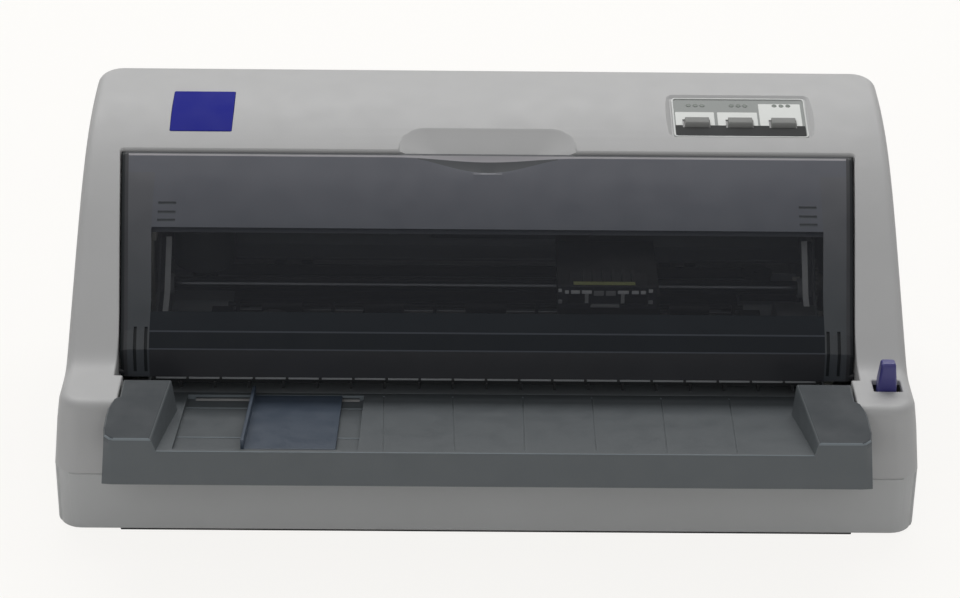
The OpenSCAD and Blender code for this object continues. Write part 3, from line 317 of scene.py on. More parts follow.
def surface(name, colour, rough, grain=0.1, mottle=0.03, metallic=0.0, grain_size=0.6,
            wear_and_sheen=0.0, worn_sheen=(235, 235, 232), brushed=False, alpha=1.0, specular=0.5, top=None,
            heights=None):
    """Procedural finish: mottled colour, fine grained bump, uneven gloss, and rubbed edges that
    also carry a painted highlight.

    Colours are 0 to 255 screen values and grain_size is in millimetres; top is a second
    colour, painted light, reached between two heights."""
    mat, tree = with_nodes(bpy.data.materials.new(name))
    add = partial(new_node, tree)

    def noise(scale, detail, vector):
        return add("TexNoise", {"Scale": scale, "Detail": detail, "Vector": vector})

    def spread(source, low, high, start=0.3, end=0.7):
        return add("MapRange", {"Value": source, "From Min": start, "From Max": end,
                                "To Min": low, "To Max": high})

    def mix(kind, factor, a, b):
        return add("Mix", {0: factor, 6: a, 7: b}, 2, data_type="RGBA", blend_type=kind)

    coords = fine_coords = add("TexCoord", out="Object")
    if brushed:
        fine_coords = add("Mapping", {"Vector": coords, "Scale": (0.03, 1, 1)})
    base = linear(*colour)
    # Blend to a lighter colour higher up: painted light.
    if top:
        height = add("SeparateXYZ", {"Vector": coords}, "Z")
        rise = spread(height, 0, 1, heights[0] * MM, heights[1] * MM)
        base = mix("MIX", rise, base, linear(*top))
    shade = spread(noise(MOTTLE_SCALE, 5, coords), 1 - mottle, 1 + mottle)
    tone = add("CombineColor", {"Red": shade, "Green": shade, "Blue": shade})
    base = mix("MULTIPLY", 1.0, base, tone)
    # Lighter edges: rubbing, and a painted highlight along them.
    if wear_and_sheen:
        bevel = add("Bevel", {"Radius": WEAR_SHEEN_R * MM}, samples=4)
        normal = add("NewGeometry", out="Normal")
        bend = add("VectorMath", {0: bevel, 1: normal}, "Value", operation="DOT_PRODUCT")
        base = mix("MIX", spread(bend, wear_and_sheen, 0, 0.82, 0.99), base, linear(*worn_sheen))
    gloss = spread(noise(GLOSS_SCALE, 6, fine_coords), rough - GLOSS_VARY, rough + GLOSS_VARY)
    bump = add("Bump", {"Strength": grain, "Distance": GRAIN_H * MM,
                        "Height": noise(1 / (grain_size * MM), 3, fine_coords)})
    feed(tree, tree.nodes["Principled BSDF"], {
        "Base Color": base, "Roughness": gloss, "Normal": bump, "Metallic": metallic,
        "Specular IOR Level": specular, "Alpha": alpha})
    return mat


# Name, colour, roughness, grain and mottle of each finish, then what is special to it.
CASE_GREY = surface("case_plastic", (178, 178, 178), 0.5, 0.22, 0.015, wear_and_sheen=0.12, specular=0.4)
CASE_LOW = surface("case_plastic_low", (177, 178, 178), 0.5, 0.22, 0.015, wear_and_sheen=0.12, specular=0.4)
TRAY_GREY = surface("tray_plastic", (77, 82, 85), 0.5, 0.25, 0.015, wear_and_sheen=0.16,
    worn_sheen=(150, 156, 160))
GUIDE_GREY = surface("guide_plastic", (60, 70, 83), 0.42, 0.12, 0.02, wear_and_sheen=0.2,
    worn_sheen=(160, 170, 184))
# Frosted smoked plastic; its top colour, lighter higher up, is painted light.
SMOKE_TOP = surface("smoked_frosted", (63, 67, 74), 0.42, 0.3, grain_size=0.5, alpha=0.96,
    heights=(110, 145), top=(80, 82, 90))
# Darker copy of the smoked plastic on the low band under the window: painted shade.
SMOKE_LOW_SHADE = surface("smoked_low_painted_shade", (30, 34, 39), 0.5, 0.2, 0.05, alpha=0.97, specular=0.15)
# Darker copy for the cover's front face, the slopes along its sides and its hinge bosses: painted
# shade.
SMOKE_FACE_SHADE = surface("smoked_face_painted_shade", (42, 43, 47), 0.4, 0.2, 0.05, alpha=0.99)
# Side strips of the cover, lighter towards the top: painted light.
SMOKE_SIDE = surface("smoked_side", (54, 58, 62), 0.4, 0.2, 0.04, alpha=0.97, heights=(96, 146),
    top=(80, 81, 86))
SMOKE_CLEAR = surface("smoked_clear", (44, 46, 51), 0.1, 0.01, 0.02, alpha=0.31, specular=0.35)
# Pale line along the rear crease of the cover: a painted highlight.
SMOKE_CREASE_GLINT = surface("smoked_crease_painted_highlight", (150, 148, 152), 0.35)
# A little darker than the frosted plastic: painted shade in the grooves; it also covers the ends
# of the front face.
SMOKE_STRIP = surface("smoked_strip", (58, 62, 67), 0.42, 0.2, 0.04)
# Dark copy on the cover's outer side edges and in its slits: painted shadow.
SMOKE_SHADOW = surface("smoked_painted_shadow", (30, 33, 36), 0.45, 0.2, 0.04, specular=0.25)
# Lighter copy on the bent strip above the cover's knee: painted light.
SMOKE_EDGE_LIT = surface("smoked_edge_painted_light", (60, 64, 71), 0.5, 0.1, 0.04, specular=0.2)
# Darker copy in the finger hollow and on the cover's rear edge: painted shade.
SMOKE_HOLLOW_SHADE = surface("smoked_hollow_painted_shade", (54, 57, 61), 0.45, 0.2, 0.04)
BLUE = surface("blue_plastic", (60, 58, 120), 0.36, wear_and_sheen=0.35, worn_sheen=(150, 148, 190))
BADGE_BLUE = surface("badge_blue", (30, 35, 134), 0.65, 0.06, 0.04, wear_and_sheen=0.1, worn_sheen=(120, 120, 170),
    specular=0.1)
LABEL_GREY = surface("label_grey", (158, 161, 159), 0.7, 0.05, 0.02, specular=0.1)
LABEL_WHITE = surface("label_white", (226, 228, 225), 0.6, 0.04, 0.01, specular=0.15)
LABEL_DARK = surface("label_dark", (66, 67, 67), 0.7, 0.04, specular=0.08)
BUTTON_GREY = surface("button_plastic", (138, 139, 137), 0.6, 0.12, 0.02, wear_and_sheen=0.2, specular=0.2)
BLACK = surface("black_plastic", (30, 30, 32), 0.42, 0.2, 0.06, wear_and_sheen=0.12, worn_sheen=(80, 80, 84))
INNER_BLACK = surface("mechanism_black", (22, 22, 24), 0.5, 0.2, 0.08)
WHITE = surface("white_plastic", (214, 214, 206), 0.42)
STEEL = surface("steel_sheet", (128, 131, 134), 0.42, 0.15, 0.05, metallic=0.85, brushed=True)
SHAFT_STEEL = surface("shaft_steel", (84, 86, 90), 0.22, 0.04, 0.04, metallic=0.95, brushed=True)
MOTOR = surface("motor_metal", (108, 110, 112), 0.45, 0.1, 0.06, metallic=0.8)
HEAD = surface("head_metal", (140, 142, 144), 0.35, 0.1, 0.06, metallic=0.8)
RUBBER = surface("rubber", (26, 26, 27), 0.75, 0.4, 0.08, grain_size=0.3)
RIBBON = surface("ribbon_fabric", (18, 17, 22), 0.9, 0.6, 0.1, grain_size=0.25)
LAMP_BOARD = surface("lamp_board", (70, 82, 72), 0.35, 0.2, 0.06, grain_size=1.2)
BOARD = surface("circuit_board", (26, 74, 44), 0.4, 0.3, 0.12, grain_size=1.6)
# Darker copy of the tray plastic for the block tops, against the light that falls on them: painted
# shade.
TRAY_TOP_SHADE = surface("tray_plastic_top_painted_shade", (55, 60, 64), 0.6, 0.25, 0.015, wear_and_sheen=0.25,
    worn_sheen=(130, 138, 143), specular=0.3)
# Lighter copy for faces turned to the front and the inner walls: painted light.
TRAY_FACE_LIT = surface("tray_plastic_face_painted_light", (86, 91, 94), 0.5, 0.25, 0.015, wear_and_sheen=0.3,
    worn_sheen=(140, 146, 150))
# Pale copy for the creases, the recess lines and the recess's back wall: painted highlight.
TRAY_EDGE_GLINT = surface("tray_plastic_edge_painted_highlight", (116, 124, 129), 0.4)
MOUTH = surface("guide_mouth", (30, 32, 34), 0.6, 0.15, 0.06)
# Lower paper guide made pale to lift the deep shade in the gap under the cover: painted light.
MOUTH_LOW_LIT = surface("guide_floor_painted_light", (132, 137, 141), 0.6, 0.15)
CABLE = surface("flat_cable", (72, 77, 86), 0.5, 0.1, 0.05)
BRASS = surface("brass_contacts", (176, 150, 96), 0.35, 0.05, 0.05, metallic=0.9)
DULL_METAL = surface("dull_metal", (62, 64, 67), 0.45, 0.1, 0.06, metallic=0.6)
LABEL_RIM = surface("label_rim", (196, 198, 196), 0.4, 0.05, 0.02)
SPROCKET = surface("sprocket_plastic", (120, 122, 121), 0.45, 0.1, 0.04)
MASK = surface("mask_plastic", (46, 48, 54), 0.4, 0.1, 0.04)
PALE_METAL = surface("pale_metal", (202, 205, 208), 0.4, 0.05, 0.05, metallic=0.3)
PALE_PLASTIC = surface("pale_plastic", (160, 163, 166), 0.45, 0.1, 0.04)
PIN_WHITE = surface("contact_white", (236, 239, 242), 0.4, 0.05)
TAG = surface("head_tag", (208, 215, 140), 0.5, 0.05, 0.04)


def dress(obj, material, *more):
    obj.data.materials.clear()
    for mat in (material,) + more:
        obj.data.materials.append(mat)
    return obj


def piece(obj, material=None, stands_for=(), body="body"):
    """Dresses a piece, puts it on its body and hides the CAD nodes it stands for."""
    if material:
        dress(obj, material)
    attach(obj, body)
    if stands_for:
        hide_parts(*stands_for)


# ---- upper case ----

SIDE_US = ([24, 30, 36] + [40 + 1.5 * i for i in range(16)] + [66, 72, 80, 90, 100]
           + [106 + 6 * i for i in range(21)])


def wall_share(z):
    """How far up the upper case's wall a height is, from 0 at the seam to 1."""
    return (z - PART_Z) / (SHOULDER_Z - PART_Z)


def wall_half(z):
    return CASE_HALF - (CASE_HALF - TOWER_HALF) * wall_share(z)


FACE_FRONT = LEAN * wall_share(SHOULDER_Z - EDGE_R)


def wall_ring(inset, z):
    """Outline of the case walls at height z, drawn in by inset."""
    return flat(outline(wall_half(z) - inset, LEAN * wall_share(z) + inset, CASE_D - inset,
                        CORNER_R - inset, SIDE_US), z)


def roof_ring(inset, drop):
    """Ring near the roof edge, whose rounding tightens towards the rear."""
    stations = outline(TOWER_HALF - inset, FACE_FRONT + inset, CASE_D - inset,
                       max(CORNER_R - inset, 1), SIDE_US)
    ring = []
    for h, u in stations:
        tight = min(1.0, max(0.0, (u - CASE_D + CORNER_R) / (CORNER_R - 2)))
        keep = 1 - 0.72 * tight
        u += inset * (1 - keep) * tight
        taper = SIDE_DRAFT * (roof(u) - SHOULDER_Z) / (CASE_H - SHOULDER_Z)
        ring.append((h - taper, u, roof(u) - drop * keep))
    return ring


def case_solid(name, inset, low, edge):
    """The upper case's form, drawn in by inset, with its roof edge rounded."""
    rings = [wall_ring(inset, low), wall_ring(inset, 60)]
    sunk = inset * 1.15
    rings += [roof_ring(inset + i, sunk + d) for i, d in quarter(edge)]
    return ring_solid(name, rings)


NECK_HALF, OPEN_FRONT, OPEN_REAR = 198.5, 203.0, 209.5
NECK_END, CHEEK_END, OPENING_REAR = 39.5, 68.0, 161.8
OPEN_US = [46 + 1.5 * i for i in range(14)] + [CHEEK_END + 6 * i for i in range(1, 15)]


def open_half(u):
    return OPEN_FRONT + (OPEN_REAR - OPEN_FRONT) * max(0, u - CHEEK_END) / (
        OPENING_REAR - CHEEK_END)


def opening(grow, height):
    """Stations of the cover opening grown by grow; height gives z at a distance u."""
    stations = [(NECK_HALF + grow, u) for u in (-6, 20, 30, NECK_END - grow)]
    stations.append((open_half(0) + grow, NECK_END + 0.2 - grow))
    stations += [(open_half(u) + grow, u) for u in OPEN_US]
    end = OPENING_REAR + grow
    r = 2.0 + grow
    stations += [(open_half(end) + grow - r * (1 - cos(a)), end - r + r * sin(a))
                 for a in quarter_turn(4)]
    return [(h, u, height(u)) for h, u in stations]


def opening_cutter():
    rim = 1.1
    rings = [opening(0, lambda u: 48.3), opening(0, lambda u: roof(u) - rim)]
    rings += [opening(g, lambda u, d=d: roof(u) - d) for g, d in quarter(rim, 4)[1:-1]]
    rings.append(opening(rim, lambda u: roof(u) + 0.04))
    rings.append(opening(rim + 0.3, lambda u: roof(u) + 8))
    return ring_solid("opening", rings)


SCOOP_HALF, SCOOP_REAR = 51.5, 178.0


def scoop(shrink, height):
    """Stations of the finger scoop, which narrows towards the rear with round corners."""
    half, rear, r = SCOOP_HALF - shrink, SCOOP_REAR - shrink * 1.2, 13.0 - shrink * 0.4
    stations = [(half, 157.0), (half, 160.0), (half - 0.4, 161.2)]
    corner = (half - 3 - r, max(rear - r, 161.4))
    r = rear - corner[1]
    for i in range(9):
        a = radians(8 + 82 * i / 8)
        stations.append((corner[0] + r * 1.15 * cos(a), corner[1] + r * sin(a)))
    return [(h, u, height(u)) for h, u in stations]


def scoop_cutter():
    steps = [(11.5, 4.6), (9.0, 3.9), (7.0, 3.2), (5.0, 2.45), (3.2, 1.7), (1.8, 1.05),
             (0.8, 0.55), (0.2, 0.22), (-0.3, 0.03), (-0.7, -0.1), (-1.0, -6.0)]
    return ring_solid("scoop", [scoop(s, lambda u, d=d: roof(u) - d) for s, d in steps])


def tilted(origin, tilt, depth=0.0):
    """Places points (x, v, w) of a plane raised by tilt about a line along X.

    The point at the given depth below the plane falls on the origin."""
    turn = Matrix.Rotation(tilt, 3, "X")
    origin = origin + turn @ Vector((0, 0, depth * MM))
    return lambda x, v, w: origin + turn @ Vector((x * MM, v * MM, w * MM))


PANEL_TILT, LABEL_DEPTH = radians(13.5), 2.1
on_panel = tilted(sum(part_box("panel_label"), Vector()) / 2, PANEL_TILT, LABEL_DEPTH)


def panel_cutter():
    steps = [(39.9, -21.0, 16.4, 2.0, -2.5), (40.3, -21.2, 16.8, 2.4, -2.2),
             (41.2, -21.4, 18.6, 3.4, -1.5), (42.4, -21.8, 20.8, 4.6, -0.6),
             (43.0, -22.2, 21.8, 5.2, -0.1), (43.6, -22.8, 22.6, 5.8, 0.2),
             (44.2, -23.4, 23.2, 6.4, 0.35), (44.4, -23.6, 23.4, 6.6, 6.0)]
    rings = [flat(outline(half, low, high, r, steps=5), w) for half, low, high, r, w in steps]
    return ring_solid("pocket", rings, place=on_panel)


BADGE_X, BADGE_U = -164.8, 192.7
BADGE_HALF, BADGE_D = 17.8, 37.6
on_badge = tilted(at(BADGE_X, BADGE_U, roof(BADGE_U)), roof_tilt(BADGE_U))


def badge_cutter():
    steps = [(0.15, -1.25), (0.15, -0.5), (0.25, -0.15), (0.6, 0.15), (0.6, 4)]
    rings = [flat(outline(BADGE_HALF + grow, -BADGE_D / 2 - grow, BADGE_D / 2 + grow,
                          0.6 + grow, steps=3), w) for grow, w in steps]
    return ring_solid("badge_pocket", rings, place=on_badge)


LEVER_SLOT_X, LEVER_SLOT_U = (209.4, 224.8), (27.5, 39.5)


def lever_cutter():
    (left, right), (front, rear) = LEVER_SLOT_X, LEVER_SLOT_U
    steps = [(0, 60), (0, 74.3), (0.1, 74.65), (0.4, 74.93), (0.8, 75.06), (0.8, 80)]
    rings = [flat(outline((right - left) / 2 + grow, front - grow, rear + grow, 0.8 + grow,
                          steps=4), z) for grow, z in steps]
    return ring_solid("lever_slot", rings, (left + right) / 2)


KNOB_U, KNOB_Z = 179.74, 62.07
KNOB_CUP_R, CUP_FLOOR_X = 18.5, 214.7
AXLE_HOLE_R = 5.3
HINGE_U, HINGE_Z, HINGE_HOLE_R = 60, 66, 2.6
PAPER_SLOT_HALF, PAPER_SLOT_Z = 150.0, (84.0, 120.0)


def knob_cutter():
    wall_x = wall_half(KNOB_Z)
    return lathe_x("cup", [(CUP_FLOOR_X, KNOB_CUP_R), (wall_x - 1.2, KNOB_CUP_R),
                           (wall_x - 0.35, KNOB_CUP_R + 0.35), (wall_x + 0.1, KNOB_CUP_R + 1.2),
                           (wall_x + 6, KNOB_CUP_R + 1.3)], KNOB_U, KNOB_Z)


def build_upper_case():
    body = case_solid("upper_shell", 0, PART_Z, EDGE_R)
    hollow = case_solid("hollow", WALL, PART_Z - 2, 3.5)
    # What stays solid round the openings: their lips and the floors under the pockets.
    kept = [ring_solid("lips", [opening(WALL, lambda u: max(46.0, roof(u) - 9.5)),
                                opening(WALL, lambda u: roof(u) + 3)]),
            box_solid("cheeks", (-OPEN_FRONT - WALL, -4, 46),
                      (OPEN_FRONT + WALL, CHEEK_END, 110)),
            ring_solid("under_scoop", [scoop(-3, lambda u: roof(u) - 10),
                                       scoop(-3, lambda u: roof(u) + 3)]),
            box_solid("under_panel", (-46, -25.5, -5), (46, 25.5, 8), on_panel),
            box_solid("under_badge", (-21, -22, -3.6), (21, 22, 5), on_badge),
            rod("under_cup", CUP_FLOOR_X - WALL, CASE_HALF + 4, KNOB_CUP_R + WALL, KNOB_U,
                KNOB_Z, 48)]
    cut(hollow, kept)
    half, (low, high) = PAPER_SLOT_HALF, PAPER_SLOT_Z
    rear_slot = ring_solid("rear_slot", [
        [(half + g, u, low - g), (half + g, u, high + g)]
        for g, u in [(0, 205), (0, 240.9), (0.3, 241.7), (1.1, 242.05), (1.2, 246)]])
    axle = rod("axle", CUP_FLOOR_X - 8, CUP_FLOOR_X + 2, AXLE_HOLE_R, KNOB_U, KNOB_Z, 32)
    pins = [rod("pin", side * 201.0, side * 207.0, HINGE_HOLE_R, HINGE_U, HINGE_Z, 24)
            for side in (1, -1)]
    cut(body, [hollow, opening_cutter(), scoop_cutter(), panel_cutter(), badge_cutter(),
               lever_cutter(), knob_cutter(), rear_slot, axle] + pins)
    soften(body, crisp=CRISP)
    piece(body, CASE_GREY, ["upper_case"])


build_upper_case()


def build_badge():
    """A bare plate that follows the roof's curve."""
    tilt = roof_tilt(BADGE_U)

    def on_roof(x, v, w):
        u = BADGE_U + v * cos(tilt)
        base = roof(BADGE_U) + v * sin(tilt)
        return at(BADGE_X + x, u, base - 1.2 if w < -1 else roof(u) + w)

    vs = [-13 + 3.25 * i for i in range(9)]
    rings = [flat(outline(BADGE_HALF - i, -BADGE_D / 2 + i, BADGE_D / 2 - i, 0.9 - i, vs, 3), w)
             for i, w in ((0, -1.2), (0, 0.1), (0.1, 0.3), (0.35, 0.4))]
    face = ring_solid("badge_face", rings, place=on_roof)
    soften(face, crisp=50)
    piece(face, BADGE_BLUE, ["badge_plate"])


build_badge()


# ---- lower case: the CAD solid inside a round-edged envelope ----

def copy_of(node, name):
    """A welded copy of a CAD node's mesh, as a new object."""
    mesh = nodes[node].data.copy()
    edit_mesh(mesh, lambda bm: bmesh.ops.remove_doubles(bm, verts=bm.verts, dist=JOIN))
    return link_object(name, mesh)


def build_lower_case():
    obj = copy_of("lower_case", "lower_shell")
    low, high = 1.0, PART_Z - 0.45
    rim, grown, gap = 1.6, 0.4, 0.1
    centre, half_d = FRONT_Y + CASE_D / 2, CASE_D / 2
    for vert in obj.data.vertices:
        x, y = vert.co.x / MM, vert.co.y / MM - centre
        if vert.co.z < rim * MM:
            vert.co.z = low * MM
        if abs(x) > CASE_HALF - 2 or abs(y) > half_d - 2:
            vert.co.x = x * (CASE_HALF + grown) / (CASE_HALF - 1) * MM
            vert.co.y = (centre + y * (half_d + grown) / (half_d - 1)) * MM

    def ring(inset, z):
        return flat(outline(CASE_HALF - inset, inset, CASE_D - inset, CORNER_R - inset,
                            [30, 60, 100, 150, 200, 222]), z)

    rings = [ring(gap + i, low + d) for i, d in reversed(quarter(1.7))]
    rings += [ring(gap, high - 0.6), ring(gap + 0.5, high)]
    cut(obj, [ring_solid("round_envelope", rings)], "INTERSECT")
    soften(obj, crisp=CRISP)
    piece(obj, CASE_LOW, ["lower_case"])


build_lower_case()


# ---- cover ----

COVER_GAP = 0.8
COVER_REAR = OPENING_REAR - COVER_GAP
COVER_T = 2.6
LIP_Z, KNEE_Z = 63.8, 79.6
KNEE_U, STEP_U, BEND_U = 59.8, 60.3, 66.8
STRIP_END, WINDOW_END = 76, 117
WINDOW_HALF, SIDE_HALF = 186, 180
TAB_HALF, HOLLOW_HALF = 56.0, 42.0
PIN_R = 1.9
# Besides the clear window and the frosted plastic, the cover's finishes are copies of it with
# painted light, shade and highlights.
COVER_FINISHES = (SMOKE_CLEAR, SMOKE_TOP, SMOKE_SIDE, SMOKE_FACE_SHADE, SMOKE_CREASE_GLINT, SMOKE_HOLLOW_SHADE,
                  SMOKE_LOW_SHADE, SMOKE_EDGE_LIT, SMOKE_STRIP, SMOKE_SHADOW)
CLEAR, TOP, SIDE, FACE, CREASE, HOLLOW, LOW, EDGE, STRIP, SHADOW = range(10)

ROWS = [("lip", 57.6), ("mid", 58.65), ("knee", KNEE_U), ("step", STEP_U), ("step", 66.2),
        ("bend", BEND_U)]
ROWS += [("roof", u) for u in (71, STRIP_END, 84, 95, 106, 111, 117.3, 121, 126, 131, 136, 141,
                               147)]
ROWS += [("hollow", 156.8), ("crease", 157.3), ("edge", 158.5), ("rear", COVER_REAR)]
ROUNDING = [(0.0, 1.8), (0.7, 1.0), (2.0, 0.4), (4.0, 0.0)]    # (inset, drop) of the sides
COLUMNS = ([None] * len(ROUNDING) + [-199.0, -188.6, -150.0, -100.0]
           + [4.0 * i for i in range(-14, 15)] + [100.0, 150.0, 188.6, 199.0]
           + [None] * len(ROUNDING))


def hump(x, half):
    return cos(pi * x / (2 * half)) ** 2 if abs(x) < half else 0.0


def cover_outer(row, x):
    """Distance and height of the cover's outer skin on a row, at a place across."""
    kind, u = row
    if kind == "hollow":
        u -= 2.2 * hump(x, TAB_HALF) + 6.2 * hump(x, HOLLOW_HALF) ** 0.7
        return u, roof(u) - 0.5 * hump(x, HOLLOW_HALF)
    if kind == "crease":
        u -= 2.2 * hump(x, TAB_HALF)
        return u, roof(u) - 0.7 * hump(x, 44.0)
    if kind == "step":
        return u, KNEE_Z + (u - KNEE_U) * (roof(BEND_U) - KNEE_Z) / 7.0
    if kind == "rear":
        return u, roof(u) - 1.3
    return u, {"lip": LIP_Z, "mid": 70.5, "knee": KNEE_Z}.get(kind, roof(u))


def across(row, j):
    """Place across of a column, and how far its edge rounding drops it."""
    x, n = COLUMNS[j], len(COLUMNS)
    if x is None:
        inset, drop = ROUNDING[min(j, n - 1 - j)]
        half = open_half(max(row[1], 60)) - COVER_GAP
        return (-1 if j < n / 2 else 1) * (half - inset), drop
    if abs(x) > SIDE_HALF:
        x -= copysign(2.4 * min(1, max(0, (WINDOW_END - row[1]) / 36)), x)
    return x, 0.0


def cover_point(skin, row, j):
    """Corner of the cover's mesh, on its outer (0) or inner (1) skin."""
    x, drop = across(row, j)
    u, z = cover_outer(row, x)
    upright = row[0] in ("lip", "mid")
    if not skin:
        if upright:
            u += 0.6 * drop
        elif row[0] != "rear":
            z -= drop
    elif upright:
        u += COVER_T
    elif row[0] in ("knee", "step"):
        u, z = u + COVER_T * (67 - u) / 7.2, z - 1.2 - 0.27 * (u - KNEE_U)
    else:
        z = roof(min(u, COVER_REAR)) - COVER_T * 1.2
    return x, u, z


def cover_finish(i, j):
    """Which of the cover's finishes a face has: the clear window, the frosted plastic, and copies
    of it with painted light and shade.
    """
    u = (ROWS[i][1] + ROWS[i + 1][1]) / 2
    mid_x = abs(across(ROWS[i], j)[0] + across(ROWS[i], j + 1)[0]) / 2
    kinds = ROWS[i][0], ROWS[i + 1][0]
    from_side = min(j, len(COLUMNS) - 2 - j)
    if from_side < 3:
        return SHADOW if from_side < 2 else FACE
    if kinds == ("hollow", "crease"):
        return HOLLOW if mid_x < HOLLOW_HALF else TOP
    if kinds == ("crease", "edge"):
        return CREASE
    if kinds == ("edge", "rear"):
        return HOLLOW
    if kinds[1] == "hollow":
        return TOP
    if kinds in (("knee", "step"), ("step", "bend")):
        return EDGE if mid_x < WINDOW_HALF else SIDE
    if u < 60:
        return FACE if mid_x < WINDOW_HALF else STRIP
    if mid_x > WINDOW_HALF:
        return SIDE
    if u < STRIP_END:
        return LOW
    return CLEAR if u < WINDOW_END else TOP


def build_cover():
    m, n = len(ROWS), len(COLUMNS)
    verts = [cover_point(skin, row, j) for skin in (0, 1) for row in ROWS for j in range(n)]
    faces, marks = [], []

    def v(skin, i, j):
        return (skin * m + i) * n + j

    for i in range(m - 1):
        for j in range(n - 1):
            faces.append((v(0, i, j), v(0, i, j + 1), v(0, i + 1, j + 1), v(0, i + 1, j)))
            faces.append((v(1, i, j), v(1, i + 1, j), v(1, i + 1, j + 1), v(1, i, j + 1)))
            marks += [cover_finish(i, j)] * 2
    for i in range(m - 1):
        for j in (0, n - 1):
            faces.append((v(0, i, j), v(0, i + 1, j), v(1, i + 1, j), v(1, i, j)))
            marks.append(SHADOW)
    for j in range(n - 1):
        for i, finish in ((0, FACE), (m - 1, HOLLOW)):
            faces.append((v(0, i, j), v(0, i, j + 1), v(1, i, j + 1), v(1, i, j)))
            marks.append(finish)
    obj = new_object("cover_sheet", verts, faces)
    dress(obj, *COVER_FINISHES)
    for poly, finish in zip(obj.data.polygons, marks):
        poly.material_index = finish

    bosses, cutters = [], []
    for side in (1, -1):
        bosses.append(rod("boss", side * 191.0, side * 202.2, PIN_R, HINGE_U + 0.4, HINGE_Z, 40))
        bosses.append(lathe_x("hinge_pin", [(side * 198.0, PIN_R), (side * 205.2, PIN_R),
                                            (side * 205.5, 1.6)], HINGE_U, HINGE_Z, 32))
        for x in (187.2, 193.2):
            cutters.append(dress(prism_x("slit", side * x, side * (x + 1.7), [
                (50, LIP_Z + 3), (50, 95), (68.5, 95), (68.5, roof(68.5) - 0.8),
                (67, roof(67) - 1), (60.5, KNEE_Z - 0.2), (58.6, LIP_Z + 3)]), SMOKE_SHADOW))
        for u in (129.8, 125.0, 120.8):
            cutters.append(dress(prism_x("groove", *sorted((side * 175.5, side * 185.5)), [
                (u - 0.7, roof(u) - 1.0), (u + 0.7, roof(u) - 0.2), (u + 0.9, roof(u) + 2),
                (u - 0.9, roof(u) + 2)]), SMOKE_STRIP))
    for boss in bosses:
        dress(boss, SMOKE_FACE_SHADE)
    cut(obj, bosses, "UNION")
    cut(obj, cutters)
    soften(obj, 0.45, 11)
    piece(obj, None, ["printer_cover"], "cover")


build_cover()


# ---- front tray ----

TRAY_FRONT, TRAY_LOW, TRAY_REAR, BLOCK_TOP = -30.5, 48.3, 63.0, 76.5
BLOCK_REAR, BLOCK_WALL, BLOCK_EDGE = 32.5, 2.5, 1.6
BED_T, REAR_Z, BED_SLOPE = 5.5, 51, 0.1958
RECESS_X, RECESS_U, RECESS_LINES, RECESS_DEPTH = (-165.6, -68.0), (-27.0, 58.8), (-2.5, 44.0), 3.0
RUNNER_SLOT = (-161.5, -70.5, 56.4, 60.6)
# Places across of the grooves in the bed, at its front and at its rear.
GROOVES = ((-55.3, -57.6), (-18.0, -19.4), (18.7, 19.5), (56.2, 57.8), (93.3, 96.2),
           (130.0, 134.0))
# The tray's plain grey, then its copies with painted shade, painted light and painted highlights.
GREY, SHADED_LID, LIT_FACE, HIGHLIGHT_EDGE = range(4)


def bed_z(u):
    """Height of the bed, which falls towards the rear."""
    return REAR_Z + (TRAY_REAR - u) * BED_SLOPE


def band(name, x0, x1, u0, u1, low, high):
    """Solid over the bed between two places across and along, low to high above it."""
    return prism_x(name, x0, x1, [(u0, bed_z(u0) + low), (u1, bed_z(u1) + low),
                                  (u1, bed_z(u1) + high), (u0, bed_z(u0) + high)])


def ear_limit(z):
    """How far back the ear may reach at height z before it meets the case front."""
    if z < SHOULDER_Z - EDGE_R:
        return LEAN * wall_share(z) - 0.45
    drop = max(0.0, SHOULDER_Z - z)
    return FACE_FRONT + EDGE_R - sqrt(EDGE_R ** 2 - (EDGE_R - drop) ** 2) - 0.45


def block_loop(side, z, inset):
    """Outline of an end block: leaning inner wall, cut front corner, ear and neck."""
    share = (BLOCK_TOP - z) / (BLOCK_TOP - TRAY_LOW)
    grow = 1.1 * share - inset

    def inner(u):
        lean = 3.0 * min(1.15, (BLOCK_TOP - z) / (BLOCK_TOP - bed_z(u)))
        top, lean = (172.7, lean * 0.57) if side > 0 else (176.2, lean * 0.87)
        return top - 4.8 * (u - TRAY_FRONT) / 63 - lean + inset

    front = TRAY_FRONT + inset
    lift = 1 - share
    points = [(inner(TRAY_FRONT), front), (180.0, front), (197.2 - 1.6 * lift, front),
              (198.8 + grow - 0.9 * lift, front + 0.2 + 0.7 * lift),
              (202.0 + grow - 1.2 * lift, front + 0.6 + 3.6 * lift), (202.1 + grow, -18),
              (202.3 + grow, -6), (202.0 + grow, 2), (201.0 + grow, 7.4), (199.4, 10.9),
              (197.4, 13.0)]
    limit = ear_limit(z) - inset if z < SHOULDER_Z else 99
    points = [(x, min(u, limit)) for x, u in points]
    points += [(197.2 - inset, max(13.4, 13.4 - inset)), (197.2 - inset, BLOCK_REAR - inset),
               (inner(BLOCK_REAR), BLOCK_REAR - inset)]
    return [(side * x, u, z) for x, u in points]


def end_block(side):
    heights = [(TRAY_LOW, 0.5), (TRAY_LOW + 0.2, 0.15), (TRAY_LOW + 0.6, 0)]
    heights += [(z, 0) for z in (56, 63, 69.4, 71.5, 73.2, 74.2, 74.9)]
    top = [(BLOCK_TOP - d, i) for i, d in quarter(BLOCK_EDGE, 5)]
    outer = loop_solid("end_block", [block_loop(side, z, i) for z, i in heights + top])
    inner = loop_solid("block_hollow", [block_loop(side, z, BLOCK_WALL)
                                        for z in (47, 56, 63, 69.4, 74)])
    return outer, inner


